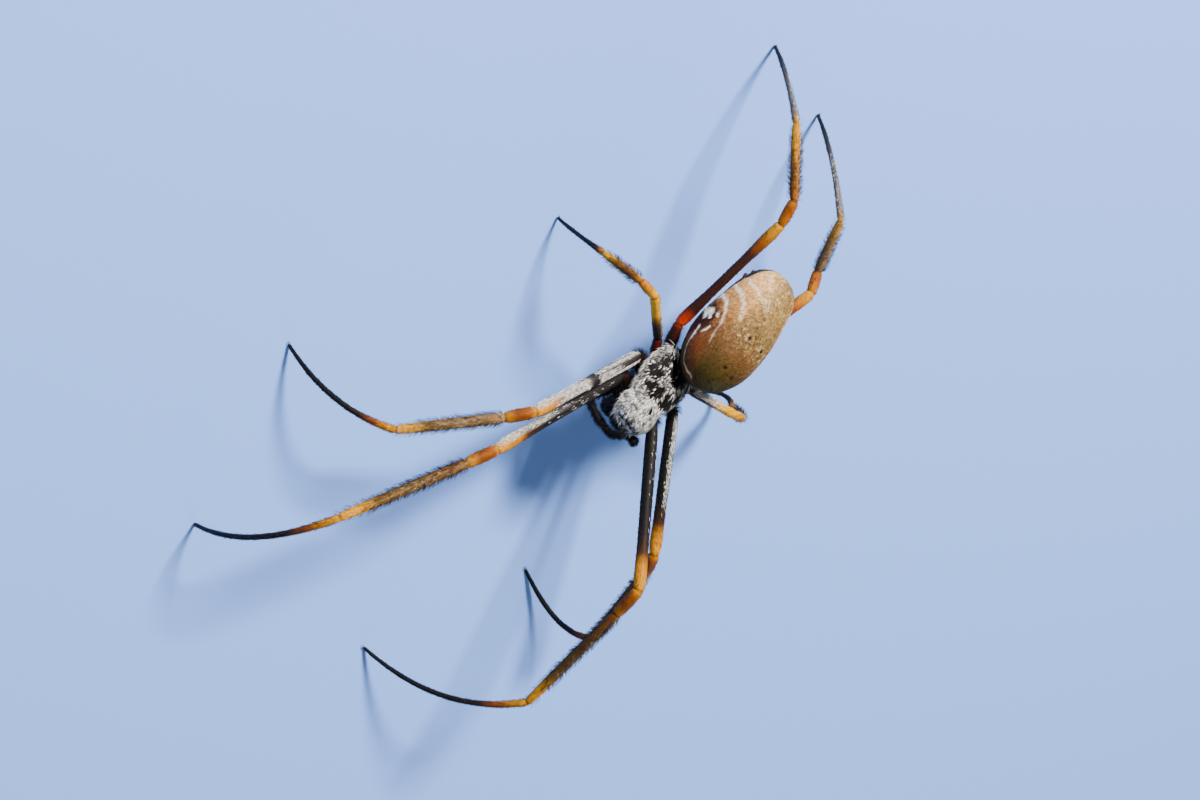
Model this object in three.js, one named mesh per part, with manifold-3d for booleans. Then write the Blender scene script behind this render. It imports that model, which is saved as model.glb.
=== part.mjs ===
// Golden silk orb weaver, an adult female at life size, in millimetres.
// +Z is up, the head points towards -Y and the spider's left is +X.
// It stands on the plane z = 0 with the tips of its eight legs.
import * as THREE from "three";
import { mergeVertices } from "three/addons/utils/BufferGeometryUtils.js";
import Module from "manifold-3d";

const wasm = await Module();
wasm.setup();

// Driving dimensions
const prosomaLift = 9;
const prosomaBack = 1;
const prosomaPitch = THREE.MathUtils.degToRad(-5);
const carapaceLength = 8.2;
const carapaceFront = -4.9;
const abdomenLength = 12.95;
const abdomenGirth = 3.45;
const abdomenFront = new THREE.Vector3(-0.2, 2.75, 12.45);
const abdomenPitch = THREE.MathUtils.degToRad(-12.5);
const abdomenTurn = new THREE.Quaternion().setFromAxisAngle(new THREE.Vector3(1, 0, 0), abdomenPitch);
const jointGap = 0.3;
const smallGap = 0.12;
const standOffset = new THREE.Vector3(1.05, 4.25, 0);

// Numbers of facets
const legSides = 10;
const bodySides = 24;

const hands = { right: -1, left: 1 };

const colours = {
  silver: 0xb9b6b0,
  darkRed: 0x4a1812,
  femur: 0x3b3330,
  silverFemur: 0xa8a29c,
  orange: 0xc8701c,
  brown: 0x7a5420,
  black: 0x1c1816,
  tan: 0x9c8058,
};

function horny(colour, roughness = 0.45) {
  return new THREE.MeshStandardMaterial({ color: colour, roughness, metalness: 0 });
}

const model = new THREE.Group();
model.position.copy(standOffset);

const prosoma = new THREE.Group();
prosoma.position.set(0, prosomaBack, prosomaLift);
prosoma.rotation.x = prosomaPitch;
prosoma.updateMatrix();
model.add(prosoma);

function fromProsoma(x, y, z) {
  return new THREE.Vector3(x, y, z).applyMatrix4(prosoma.matrix);
}

function addMesh(parent, name, geometry, material) {
  const mesh = new THREE.Mesh(geometry, material);
  mesh.name = name;
  parent.add(mesh);
  return mesh;
}

// Closed bodies through rings of points

// Every ring has the same number of points, counter-clockwise about the way the body runs.
// A flat fan closes the first ring and the last.
function ringBody(rings) {
  const sides = rings[0].length;
  const points = rings.flat();
  const faces = [];
  for (let ring = 0; ring + 1 < rings.length; ring += 1) {
    for (let side = 0; side < sides; side += 1) {
      const here = ring * sides + side;
      const next = ring * sides + ((side + 1) % sides);
      faces.push(here, next, next + sides, here, next + sides, here + sides);
    }
  }
  const lastRing = (rings.length - 1) * sides;
  for (let side = 0; side < sides; side += 1) {
    const next = (side + 1) % sides;
    faces.push(points.length, next, side);
    faces.push(points.length + 1, lastRing + side, lastRing + next);
  }
  points.push(middleOf(rings[0]), middleOf(rings[rings.length - 1]));
  const geometry = new THREE.BufferGeometry();
  geometry.setAttribute("position", new THREE.Float32BufferAttribute(points.flatMap((p) => p.toArray()), 3));
  geometry.setIndex(faces);
  geometry.computeVertexNormals();
  return geometry;
}

function middleOf(ring) {
  const sum = new THREE.Vector3();
  for (const point of ring) sum.add(point);
  return sum.divideScalar(ring.length);
}

// Reads a short list of [place, value] pairs at a place between them.
function between(pairs, place) {
  let index = 1;
  while (index < pairs.length - 1 && place > pairs[index][0]) index += 1;
  const [fromPlace, fromValue] = pairs[index - 1];
  const [toPlace, toValue] = pairs[index];
  const part = THREE.MathUtils.clamp((place - fromPlace) / (toPlace - fromPlace), 0, 1);
  return fromValue + (toValue - fromValue) * part;
}

// The same list read as a smooth curve through its pairs.
function smoothly(pairs, place) {
  const curve = new THREE.SplineCurve(pairs.map(([x, y]) => new THREE.Vector2(x, y)));
  let low = 0;
  let high = 1;
  for (let turn = 0; turn < 24; turn += 1) {
    const half = (low + high) / 2;
    if (curve.getPoint(half).x < place) low = half;
    else high = half;
  }
  return curve.getPoint(low).y;
}

// Tubes whose rings follow a path

// The side direction is carried along the path, so that the rings of a leg never twist.
function sideAcross(direction, side) {
  return side.clone().addScaledVector(direction, -side.dot(direction)).normalize();
}

function roundRing(centre, direction, side, radius, heightFactor = 1, sides = legSides) {
  const top = direction.clone().cross(side);
  const ring = [];
  for (let index = 0; index < sides; index += 1) {
    const angle = (index / sides) * 2 * Math.PI;
    const point = centre.clone().addScaledVector(side, radius * Math.cos(angle));
    ring.push(point.addScaledVector(top, radius * heightFactor * Math.sin(angle)));
  }
  return ring;
}

// Slides a ring along its own direction onto a plane, given as a point, a normal and a distance.
function slideOnto(ring, direction, plane) {
  for (const point of ring) {
    const short = plane.distance - point.clone().sub(plane.point).dot(plane.normal);
    point.addScaledVector(direction, short / direction.dot(plane.normal));
  }
}

// The plane that halves the bend between two segments, half a gap before or after the joint.
function mitre(point, before, after, distance) {
  return { point, normal: before.clone().add(after).normalize(), distance };
}

// How much of the path's length a slanted end takes up, with a little room for the next ring.
function slantedShare(path, girth, plane, place) {
  if (!plane) return 0;
  const cosine = Math.abs(path.getTangent(place).normalize().dot(plane.normal));
  const slant = girth * Math.sqrt(Math.max(0, 1 / (cosine * cosine) - 1));
  return (slant + Math.abs(plane.distance) + 0.12) / path.getLength();
}

// One segment of a limb: its path, its half-thickness along the path and the planes of its two ends.
function segment({ path, steps, profile, girth, side, start, end, sides = legSides }) {
  const rings = [];
  const firstShare = slantedShare(path, girth, start, 0);
  const lastShare = slantedShare(path, girth, end, 1);
  let carried = side;
  for (let step = 0; step <= steps; step += 1) {
    const place = step / steps;
    const inside = step > 0 && step < steps;
    if (inside && (place < firstShare || place > 1 - lastShare)) continue;
    const direction = path.getTangent(place).normalize();
    carried = sideAcross(direction, carried);
    const radius = girth * between(profile, place);
    const ring = roundRing(path.getPoint(place), direction, carried, radius, 1, sides);
    if (step === 0 && start) slideOnto(ring, direction, start);
    if (step === steps && end) slideOnto(ring, direction, end);
    rings.push(ring);
  }
  return ringBody(rings);
}

// Legs

// Each pair has its lengths, its half-thickness, and where its coxa leaves the body and meets the femur.
const legPairs = {
  1: {
    femur: 14.8, patella: 3.2, tibia: 12, foot: 16.6, girth: 0.58,
    root: [1.7, -1.95], hip: [3.3, -2.35, -0.15],
  },
  2: {
    femur: 12.8, patella: 2.7, tibia: 9.2, foot: 11.8, girth: 0.58,
    root: [1.75, -0.4], hip: [3.7, -0.1, 0],
  },
  3: {
    femur: 6.3, patella: 2.1, tibia: 4.4, foot: 7.3, girth: 0.47,
    root: [1.75, 1.2], hip: [3.5, 2.35, -0.12],
  },
  4: {
    femur: 12.7, patella: 2.4, tibia: 6.8, foot: 11.9, girth: 0.53,
    root: [1.65, 2.7], hip: [3.2, 4.6, 0.1],
  },
};

// The pose: each segment's way in degrees, turned from straight ahead to the outside, then raised.
// The tip is where the claws meet the ground, to the outside and backwards.
const legPoses = {
  leg_1_right: {
    femur: [22.5, 13.5], patella: [27, 10.5], tibia: [20.5, -1], ankle: [12, -17], tip: [14, -37.5],
  },
  leg_2_right: {
    femur: [26.5, 16], patella: [27.5, -13], tibia: [27, -21.5], ankle: [53, -22.5], tip: [22, -22],
  },
  leg_3_right: {
    femur: [100.5, 23], patella: [82, -6.5], tibia: [75, -64.5], ankle: [69, -72], tip: [14, 3.5],
  },
  leg_4_right: {
    femur: [159, 19], patella: [146, 8], tibia: [141.5, -29], ankle: [153.5, -52.5], tip: [13, 28.5],
  },
  leg_1_left: {
    femur: [31, 32.5], patella: [29.5, -22], tibia: [24, -19.5], ankle: [-9.5, -37.5], tip: [8.5, -32.5],
  },
  leg_2_left: {
    femur: [43, 14], patella: [55, -23.5], tibia: [38.5, -24.5], ankle: [43.5, -63.5], tip: [14, -16.5],
  },
  leg_3_left: {
    femur: [112, -4], patella: [112, -25], tibia: [115, -65.5], ankle: [156.5, -57.5], tip: [10, 4.5],
  },
  leg_4_left: {
    femur: [169, -8], patella: [193, -30.5], tibia: [239, 26.5], ankle: [240, -13.5], tip: [-4, 29],
  },
};

// Half-thickness along each kind of segment, as shares of the leg's own.
const coxaProfile = [[0, 1.05], [0.3, 1.22], [0.58, 1.18], [0.7, 0.92], [0.85, 1], [1, 0.86]];
const femurProfile = [[0, 0.84], [0.08, 1], [0.4, 0.98], [0.75, 0.93], [0.92, 1.04], [1, 0.88]];
const rearFemurProfile = [[0, 0.9], [0.07, 1.12], [0.3, 0.86], [0.65, 0.84], [0.9, 1.08], [1, 0.92]];
const patellaProfile = [[0, 0.86], [0.3, 1], [0.75, 0.98], [1, 0.84]];
const tibiaProfile = [[0, 0.78], [0.12, 0.9], [0.5, 0.86], [0.9, 0.78], [1, 0.68]];
const footProfile = [[0, 0.6], [0.06, 0.62], [0.3, 0.47], [0.76, 0.42], [0.8, 0.38], [0.96, 0.33], [1, 0.27]];

const segmentSteps = { coxa: 6, femur: 8, patella: 4, tibia: 7, foot: 12 };

function heading(hand, [turn, rise]) {
  const yaw = THREE.MathUtils.degToRad(turn);
  const lift = THREE.MathUtils.degToRad(rise);
  return new THREE.Vector3(
    hand * Math.sin(yaw) * Math.cos(lift),
    -Math.cos(yaw) * Math.cos(lift),
    Math.sin(lift),
  );
}

function legMaterials(name) {
  const femur = name === "leg_2_right" ? colours.silverFemur : colours.femur;
  return {
    coxa: horny(colours.darkRed, 0.35),
    femur: horny(femur, 0.5),
    patella: horny(colours.orange, 0.4),
    tibia: horny(colours.brown, 0.45),
    foot: horny(colours.black, 0.5),
  };
}

function addLeg(name) {
  const pose = legPoses[name];
  const pair = legPairs[name.split("_")[1]];
  const hand = hands[name.split("_")[2]];
  const materials = legMaterials(name);

  const root = fromProsoma(hand * pair.root[0], pair.root[1], pair.hip[2] - 0.45);
  const joints = [root, fromProsoma(hand * pair.hip[0], pair.hip[1], pair.hip[2])];
  for (const kind of ["femur", "patella", "tibia"]) {
    joints.push(joints.at(-1).clone().addScaledVector(heading(hand, pose[kind]), pair[kind]));
  }
  const ankle = joints.at(-1);
  const bend = ankle.clone().addScaledVector(heading(hand, pose.ankle), pair.foot / 2);
  const tip = new THREE.Vector3(hand * pose.tip[0], pose.tip[1], 0);

  const paths = {};
  const kinds = ["coxa", "femur", "patella", "tibia"];
  kinds.forEach((kind, index) => {
    paths[kind] = new THREE.LineCurve3(joints[index], joints[index + 1]);
  });
  paths.foot = new THREE.QuadraticBezierCurve3(ankle, bend, tip);

  const order = [...kinds, "foot"];
  const profiles = {
    coxa: coxaProfile,
    femur: pair === legPairs[4] ? rearFemurProfile : femurProfile,
    patella: patellaProfile,
    tibia: tibiaProfile,
    foot: footProfile,
  };
  let side = heading(hand, [90 + pose.femur[0], 0]);
  order.forEach((kind, index) => {
    const path = paths[kind];
    const setOff = path.getTangent(0).normalize();
    const arrive = path.getTangent(1).normalize();
    side = sideAcross(setOff, side);
    let start = { point: root, normal: setOff, distance: 0 };
    let end = { point: tip, normal: new THREE.Vector3(0, 0, -1), distance: 0 };
    if (index > 0) {
      const before = paths[order[index - 1]].getTangent(1).normalize();
      start = mitre(path.getPoint(0), before, setOff, jointGap / 2);
    }
    if (index < order.length - 1) {
      const after = paths[order[index + 1]].getTangent(0).normalize();
      end = mitre(path.getPoint(1), arrive, after, -jointGap / 2);
    }
    const geometry = segment({
      path,
      steps: segmentSteps[kind],
      profile: profiles[kind],
      girth: pair.girth,
      side,
      start,
      end,
    });
    addMesh(model, `${name}_${kind}`, geometry, materials[kind]);
  });
}

// Solids for joining and cutting

function solidOf(geometry) {
  const plain = geometry.clone();
  plain.deleteAttribute("normal");
  plain.deleteAttribute("uv");
  const merged = mergeVertices(plain, 1e-4);
  return new wasm.Manifold(new wasm.Mesh({
    numProp: 3,
    vertProperties: new Float32Array(merged.attributes.position.array),
    triVerts: new Uint32Array(merged.index.array),
  }));
}

function largest(solid) {
  return solid.decompose().reduce((best, piece) => (piece.volume() > best.volume() ? piece : best));
}

function geometryOf(solid) {
  const { vertProperties, triVerts } = solid.getMesh();
  const geometry = new THREE.BufferGeometry();
  geometry.setAttribute("position", new THREE.BufferAttribute(vertProperties, 3));
  geometry.setIndex(new THREE.BufferAttribute(triVerts, 1));
  geometry.computeVertexNormals();
  return geometry;
}

// Carapace, the shield over the front body, in the front body's own frame

const carapaceWidth = [
  [0, 1.25], [0.04, 1.75], [0.13, 2.1], [0.24, 2.15], [0.33, 2.05],
  [0.42, 2.4], [0.54, 2.72], [0.68, 2.85], [0.84, 2.6], [0.95, 2], [1, 1.3],
];
const carapaceTop = [
  [0, 1.75], [0.04, 2.15], [0.14, 2.45], [0.28, 2.5], [0.4, 2.2],
  [0.55, 2.25], [0.7, 2.15], [0.86, 1.6], [1, 0.95],
];
const carapaceRim = [[0, 0.95], [0.7, 0.95], [1, 0.65]];
const rimThickness = 0.17;
const foveaPlace = new THREE.Vector2(0, 0.6);
const grooveAngle = THREE.MathUtils.degToRad(52);
const grooveMeeting = -1.3;

// The shield sits a little to the right on the front body, its back end turned to the right.
const shieldYaw = THREE.MathUtils.degToRad(4);
const shieldPivot = new THREE.Vector3(-0.2, -4, 0);

function onShield(x, y, z) {
  const point = new THREE.Vector3(x, y - shieldPivot.y, z);
  return point.applyAxisAngle(new THREE.Vector3(0, 0, 1), shieldYaw).add(shieldPivot);
}

function carapaceHollow(x, y) {
  const fovea = 0.28 * Math.exp(-(((x - foveaPlace.x) / 0.55) ** 2) - ((y - foveaPlace.y) / 0.4) ** 2);
  const away = Math.abs(y - grooveMeeting + Math.abs(x) / Math.tan(grooveAngle)) * Math.sin(grooveAngle);
  const groove = 0.2 * Math.exp(-((away / 0.28) ** 2)) * Math.min(1, Math.abs(x) + 0.35);
  return fovea + groove;
}

function carapaceRing(place) {
  const y = carapaceFront + place * carapaceLength;
  const width = smoothly(carapaceWidth, place);
  const top = smoothly(carapaceTop, place);
  const rim = between(carapaceRim, place);
  const ring = [];
  for (let index = 0; index < bodySides; index += 1) {
    const angle = (index / bodySides) * 2 * Math.PI;
    const x = width * Math.cos(angle);
    const upper = Math.sin(angle) > 0;
    const lift = Math.abs(Math.sin(angle)) ** (upper ? 0.85 : 0.4);
    let z = rim + (upper ? (top - rim) * lift : -rimThickness * lift);
    if (upper) z -= carapaceHollow(x, y) * lift;
    ring.push(onShield(x, y, z));
  }
  return ring.reverse();
}

function carapaceGeometry() {
  const rings = [];
  const steps = 22;
  for (let step = 0; step <= steps; step += 1) rings.push(carapaceRing(step / steps));
  return ringBody(rings);
}

// Eyes: two rows of four, the side ones close together on each corner of the head
const eyeRadius = 0.17;
const eyePlaces = {
  eye_front_median: [0.3, -4.86, 1.72],
  eye_rear_median: [0.33, -4.62, 2.14],
  eye_front_lateral: [1.45, -4.68, 1.45],
  eye_rear_lateral: [1.36, -4.38, 1.86],
};

function eyeGeometry(radius) {
  return new THREE.SphereGeometry(radius, 8, 6);
}

function addHead() {
  let carapace = solidOf(carapaceGeometry());
  for (const [place, [x, y, z]] of Object.entries(eyePlaces)) {
    for (const [handName, hand] of Object.entries(hands)) {
      const centre = onShield(hand * x, y, z);
      const socket = solidOf(eyeGeometry(eyeRadius + smallGap)).translate(centre.toArray());
      carapace = carapace.subtract(socket);
      const eye = addMesh(prosoma, `${place}_${handName}`, eyeGeometry(eyeRadius), horny(colours.black, 0.1));
      eye.position.copy(centre);
    }
  }
  const clear = carapace.subtract(abdomenSeenFromProsoma());
  addMesh(prosoma, "carapace", geometryOf(largest(clear)), horny(colours.silver, 0.8));
}

// Sternum, the plate below, with the body between the coxae on it and the two maxillae in front
const sternumFront = -3;
const sternumBack = 3.1;
const sternumTop = 0.3;
const sternumDepth = 1.35;
const sternumWidth = [[0, 0.7], [0.15, 1.25], [0.8, 1.25], [0.92, 1.05], [1, 0.7]];
const maxilla = { place: [0.72, -2.62, -1.05], size: [0.52, 0.74, 0.6] };

function sternumGeometry() {
  const rings = [];
  const steps = 10;
  const sides = 12;
  for (let step = 0; step <= steps; step += 1) {
    const place = step / steps;
    const y = sternumFront + place * (sternumBack - sternumFront);
    const half = between(sternumWidth, place);
    const ring = [];
    for (let index = 0; index < sides; index += 1) {
      const angle = (index / sides) * 2 * Math.PI;
      const across = Math.abs(Math.cos(angle)) ** 0.6 * Math.sign(Math.cos(angle));
      const height = Math.abs(Math.sin(angle)) ** 0.6;
      const z = Math.sin(angle) > 0 ? sternumTop * height : -sternumDepth * height;
      ring.push(new THREE.Vector3(half * across, y, z));
    }
    rings.push(ring.reverse());
  }
  return ringBody(rings);
}

function addSternum() {
  let solid = solidOf(sternumGeometry());
  for (const hand of Object.values(hands)) {
    const lobe = solidOf(new THREE.SphereGeometry(1, 10, 8)).scale(maxilla.size);
    solid = solid.add(lobe.translate(hand * maxilla.place[0], maxilla.place[1], maxilla.place[2]));
  }
  const clear = largest(solid.subtract(abdomenSeenFromProsoma()));
  addMesh(prosoma, "sternum", geometryOf(clear), horny(colours.black, 0.5));
}

// Chelicerae and their fangs, in front of the head
const cheliceraPath = [[0.96, -4.05, 0.5], [0.98, -4.4, -0.3], [0.9, -4.35, -1.2], [0.74, -4.1, -1.9]];
const cheliceraProfile = [[0, 0.74], [0.12, 0.82], [0.4, 0.82], [0.75, 0.68], [0.93, 0.5], [1, 0.3]];
const cheliceraTop = {
  point: new THREE.Vector3(0, 0, 0.42),
  normal: new THREE.Vector3(0, 0, -1),
  distance: 0,
};
const fangPath = [[0.6, -3.6, -2.28], [0.5, -3.2, -2.25], [0.34, -2.8, -2.05]];
const fangProfile = [[0, 0.2], [0.4, 0.17], [0.8, 0.1], [1, 0.04]];

function handedPath(hand, points) {
  return new THREE.CatmullRomCurve3(points.map(([x, y, z]) => new THREE.Vector3(hand * x, y, z)));
}

function addChelicerae() {
  for (const [handName, hand] of Object.entries(hands)) {
    const common = { girth: 1, side: new THREE.Vector3(1, 0, 0) };
    const basal = segment({
      ...common,
      path: handedPath(hand, cheliceraPath),
      steps: 9,
      profile: cheliceraProfile,
      start: cheliceraTop,
      sides: 12,
    });
    addMesh(prosoma, `chelicera_${handName}`, basal, horny(colours.black, 0.25));
    const fang = segment({
      ...common,
      path: handedPath(hand, fangPath),
      steps: 5,
      profile: fangProfile,
      sides: 6,
    });
    addMesh(prosoma, `fang_${handName}`, fang, horny(colours.darkRed, 0.2));
  }
}

// Palps, the short feelers beside the chelicerae, curled in front of the face
const palpPaths = {
  right: [
    [-1.75, -3.3, -1.5], [-2, -5, -2.35], [-2, -5.75, -1.2],
    [-0.95, -6.1, -0.5], [-0.05, -6.2, 0.3], [0, -6.1, 1.3], [-0.1, -5.85, 2.1],
  ],
  left: [
    [1.75, -3.3, -1.5], [2.55, -4.2, -1.7], [2.9, -4.45, -0.9],
    [2.95, -4.55, -0.2], [2.65, -4.8, 0.45], [2.15, -5.1, 0.9],
  ],
};
const palpProfile = [
  [0, 0.3], [0.1, 0.38], [0.3, 0.33], [0.4, 0.36], [0.6, 0.35],
  [0.66, 0.3], [0.75, 0.36], [0.95, 0.3], [1, 0.16],
];

function addPalps() {
  for (const [handName, points] of Object.entries(palpPaths)) {
    const palp = segment({
      path: handedPath(1, points),
      steps: 16,
      profile: palpProfile,
      girth: 1,
      side: new THREE.Vector3(0, 0, 1),
      sides: 8,
    });
    addMesh(prosoma, `palp_${handName}`, palp, horny(colours.black, 0.5));
  }
}

// Abdomen, a blunt cylinder with the spinnerets beneath its rear, along its own +Y
const abdomenProfile = [
  [0, 0.02], [0.01, 0.26], [0.04, 0.48], [0.08, 0.64], [0.15, 0.8], [0.24, 0.93], [0.35, 1], [0.5, 0.99],
  [0.66, 0.91], [0.8, 0.8], [0.9, 0.67], [0.96, 0.48], [0.99, 0.26], [1, 0.02],
];
const alongAbdomen = new THREE.Vector3(0, 1, 0);
const acrossAbdomen = new THREE.Vector3(1, 0, 0);

// The abdomen's surface, or one that lies a given distance outside it.
function abdomenGeometry(outside = 0) {
  const rings = [];
  const steps = 26;
  for (let step = 0; step <= steps; step += 1) {
    const place = (1 - Math.cos((step / steps) * Math.PI)) / 2;
    const radius = abdomenGirth * smoothly(abdomenProfile, place) + outside;
    const centre = new THREE.Vector3(0, place * (abdomenLength + 2 * outside) - outside, 0);
    rings.push(roundRing(centre, alongAbdomen, acrossAbdomen, radius, 0.98, bodySides));
  }
  return ringBody(rings);
}

function abdomenSeenFromProsoma() {
  const placed = new THREE.Matrix4().compose(abdomenFront, abdomenTurn, new THREE.Vector3(1, 1, 1));
  const relative = prosoma.matrix.clone().invert().multiply(placed);
  return solidOf(abdomenGeometry(jointGap)).transform(relative.toArray());
}

// The three pairs of spinnerets: how far to the side, how far back, length and half-thickness
const spinneretPairs = [[0.5, -0.45, 1.5, 0.36], [0.28, 0.05, 1.0, 0.2], [0.5, 0.5, 1.3, 0.3]];
const spinneretPlace = 0.88;
const spinneretSunk = 0.1;
const spinneretTilt = 28;

function spinneretGeometry(hand, [across, back, length, girth]) {
  const path = new THREE.LineCurve3(
    new THREE.Vector3(hand * across, back, 0),
    new THREE.Vector3(hand * across * 0.8, back * 0.7 + 0.35, -length),
  );
  const profile = [[0, 1], [0.6, 0.95], [0.85, 0.6], [1, 0.25]];
  return segment({ path, steps: 4, profile, girth, side: new THREE.Vector3(1, 0, 0), sides: 8 });
}

function spinneretSolid() {
  const mound = new THREE.SphereGeometry(1, 14, 8).scale(1, 0.95, 0.5);
  let cluster = solidOf(mound);
  for (const pair of spinneretPairs) {
    for (const hand of Object.values(hands)) cluster = cluster.add(solidOf(spinneretGeometry(hand, pair)));
  }
  const under = abdomenGirth * smoothly(abdomenProfile, spinneretPlace);
  const tilted = cluster.rotate(spinneretTilt, 0, 0);
  const placed = tilted.translate(0, spinneretPlace * abdomenLength, spinneretSunk - under);
  return largest(placed.subtract(solidOf(abdomenGeometry(jointGap))));
}

function addAbdomen() {
  const abdomen = new THREE.Group();
  abdomen.position.copy(abdomenFront);
  abdomen.quaternion.copy(abdomenTurn);
  model.add(abdomen);
  addMesh(abdomen, "abdomen", abdomenGeometry(), horny(colours.tan, 0.55));
  addMesh(abdomen, "spinnerets", geometryOf(spinneretSolid()), horny(colours.darkRed, 0.5));
}

// Pedicel, the narrow waist
const pedicelStart = new THREE.Vector3(0, 3.4, -0.25);
const pedicelEnd = new THREE.Vector3(0, 5.6, -0.05);

function addPedicel() {
  const waist = segment({
    path: new THREE.LineCurve3(pedicelStart, pedicelEnd),
    steps: 4,
    profile: [[0, 0.55], [0.5, 0.42], [1, 0.5]],
    girth: 1,
    side: new THREE.Vector3(1, 0, 0),
    sides: 12,
  });
  const clear = largest(solidOf(waist).subtract(abdomenSeenFromProsoma()));
  addMesh(prosoma, "pedicel", geometryOf(clear), horny(colours.darkRed, 0.5));
}

addHead();
addSternum();
addChelicerae();
addPalps();
addPedicel();
for (const name of Object.keys(legPoses)) addLeg(name);
addAbdomen();

export default model;
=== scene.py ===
import itertools
import math

import bpy
import numpy as np
from mathutils import Matrix


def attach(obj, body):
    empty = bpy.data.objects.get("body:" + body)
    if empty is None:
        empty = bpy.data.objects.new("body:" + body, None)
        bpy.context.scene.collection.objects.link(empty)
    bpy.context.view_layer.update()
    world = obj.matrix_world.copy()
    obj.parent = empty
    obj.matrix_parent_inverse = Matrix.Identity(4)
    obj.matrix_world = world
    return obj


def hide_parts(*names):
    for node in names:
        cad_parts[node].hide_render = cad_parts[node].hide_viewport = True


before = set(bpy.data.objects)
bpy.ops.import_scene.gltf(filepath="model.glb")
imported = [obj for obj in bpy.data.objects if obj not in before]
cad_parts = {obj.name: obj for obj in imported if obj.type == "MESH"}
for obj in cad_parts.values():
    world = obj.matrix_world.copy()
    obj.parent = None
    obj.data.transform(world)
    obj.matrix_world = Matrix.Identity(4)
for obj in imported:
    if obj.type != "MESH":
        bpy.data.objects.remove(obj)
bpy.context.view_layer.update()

# Golden silk orb weaver, a still life-size model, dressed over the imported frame.
# Shapes are worked out in millimetres, head towards -Y and its left towards +X, and written in metres.

MM = 0.001
# Brings the middle of the whole pose over the origin
STAND_OFFSET = np.array([1.05, 4.25, 0.0])
HANDS = {"right": -1, "left": 1}
ACROSS, UPWARDS = (1, 0, 0), (0, 0, 1)
# The skin lies a little inside the solids, and the hair stands on it
SKIN_DEPTH = 0.03
rng = np.random.default_rng(11)

# Front body, in its own frame: widths and heights are given by place from front to back
PROSOMA_PLACE = np.array([0.0, 1.0, 9.0])
PROSOMA_PITCH = math.radians(-5)
CARAPACE_LENGTH = 8.2
CARAPACE_FRONT = -4.9
CARAPACE_WIDTH = [
    (0, 1.25), (0.04, 1.75), (0.13, 2.1), (0.24, 2.15), (0.33, 2.05),
    (0.42, 2.4), (0.54, 2.72), (0.68, 2.85), (0.84, 2.6), (0.95, 2), (1, 1.3),
]
CARAPACE_TOP = [
    (0, 1.75), (0.04, 2.15), (0.14, 2.45), (0.28, 2.5), (0.4, 2.2),
    (0.55, 2.25), (0.7, 2.15), (0.86, 1.6), (1, 0.95),
]
CARAPACE_RIM = [(0, 0.95), (0.7, 0.95), (1, 0.65)]
RIM_THICKNESS = 0.17
# Pit in the middle, grooves between head and thorax, and rays of the thorax
FOVEA_Y, FOVEA_ACROSS, FOVEA_ALONG, FOVEA_DEPTH = 0.6, 0.55, 0.4, 0.28
GROOVE_ANGLE = math.radians(52)
GROOVE_MEETING, GROOVE_WIDTH, GROOVE_DEPTH = -1.3, 0.28, 0.2
RAY_TURNS, RAY_WIDTH, RAY_DEPTH = (70, 105, 140), 0.16, 0.06
SHIELD_YAW = math.radians(4)
SHIELD_PIVOT = np.array([-0.2, -4.0, 0.0])
# Under the shield: reach along Y, half-widths (the flank's as a share of the shield's), tops and undersides
FLANK_REACH, FLANK_SHARE, FLANK_HEIGHTS = (-4.3, 3.2), 0.78, (0.86, -0.7)
STERNUM_REACH, STERNUM_HEIGHTS = (-3.0, 3.1), (0.3, -1.35)
STERNUM_WIDTH = [(0, 0.7), (0.15, 1.25), (0.8, 1.25), (0.92, 1.05), (1, 0.7)]
# The waist: its line and half-thickness
WAIST_PATH = [(0, 3.0, -0.25), (0, 4.4, -0.15), (0, 5.8, 0.0)]
WAIST_PROFILE = [(0, 0.55), (0.5, 0.42), (1, 0.5)]

# Mouth parts: lines and half-thicknesses of the left chelicera and fang, and of both palps
CHELICERA_PATH = [(0.96, -4.05, 0.5), (0.98, -4.4, -0.3), (0.9, -4.35, -1.2), (0.74, -4.1, -1.9)]
CHELICERA_PROFILE = [(0, 0.74), (0.12, 0.82), (0.4, 0.82), (0.75, 0.68), (0.93, 0.5), (1, 0.3)]
FANG_PATH = [(0.6, -3.6, -2.28), (0.5, -3.2, -2.25), (0.34, -2.8, -2.05)]
FANG_PROFILE = [(0, 0.2), (0.4, 0.17), (0.8, 0.1), (1, 0.04)]
PALP_PATHS = {
    "right": [
        (-1.75, -3.3, -1.5), (-2, -5, -2.35), (-2, -5.75, -1.2),
        (-0.95, -6.1, -0.5), (-0.05, -6.2, 0.3), (0, -6.1, 1.3), (-0.1, -5.85, 2.1),
    ],
    "left": [
        (1.75, -3.3, -1.5), (2.55, -4.2, -1.7), (2.9, -4.45, -0.9),
        (2.95, -4.55, -0.2), (2.65, -4.8, 0.45), (2.15, -5.1, 0.9),
    ],
}
PALP_PROFILE = [
    (0, 0.3), (0.1, 0.38), (0.3, 0.33), (0.4, 0.36), (0.6, 0.35),
    (0.66, 0.3), (0.75, 0.36), (0.95, 0.3), (1, 0.16),
]
PALP_JOINTS, PALP_JOINT_WIDTH = (0.14, 0.36, 0.47, 0.68), 0.016
# Left maxilla and palp base: centre and half-sizes
MAXILLA = (0.72, -2.62, -1.05), (0.52, 0.74, 0.6)
PALP_BASE = (1.62, -2.95, -0.85), (0.62, 0.72, 0.62)
# Left eyes: front and rear one of the middle four, then of the side four
EYE_RADIUS = 0.17
EYE_PLACES = [(0.3, -4.86, 1.72), (0.33, -4.62, 2.14), (1.45, -4.68, 1.45), (1.36, -4.38, 1.86)]

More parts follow.
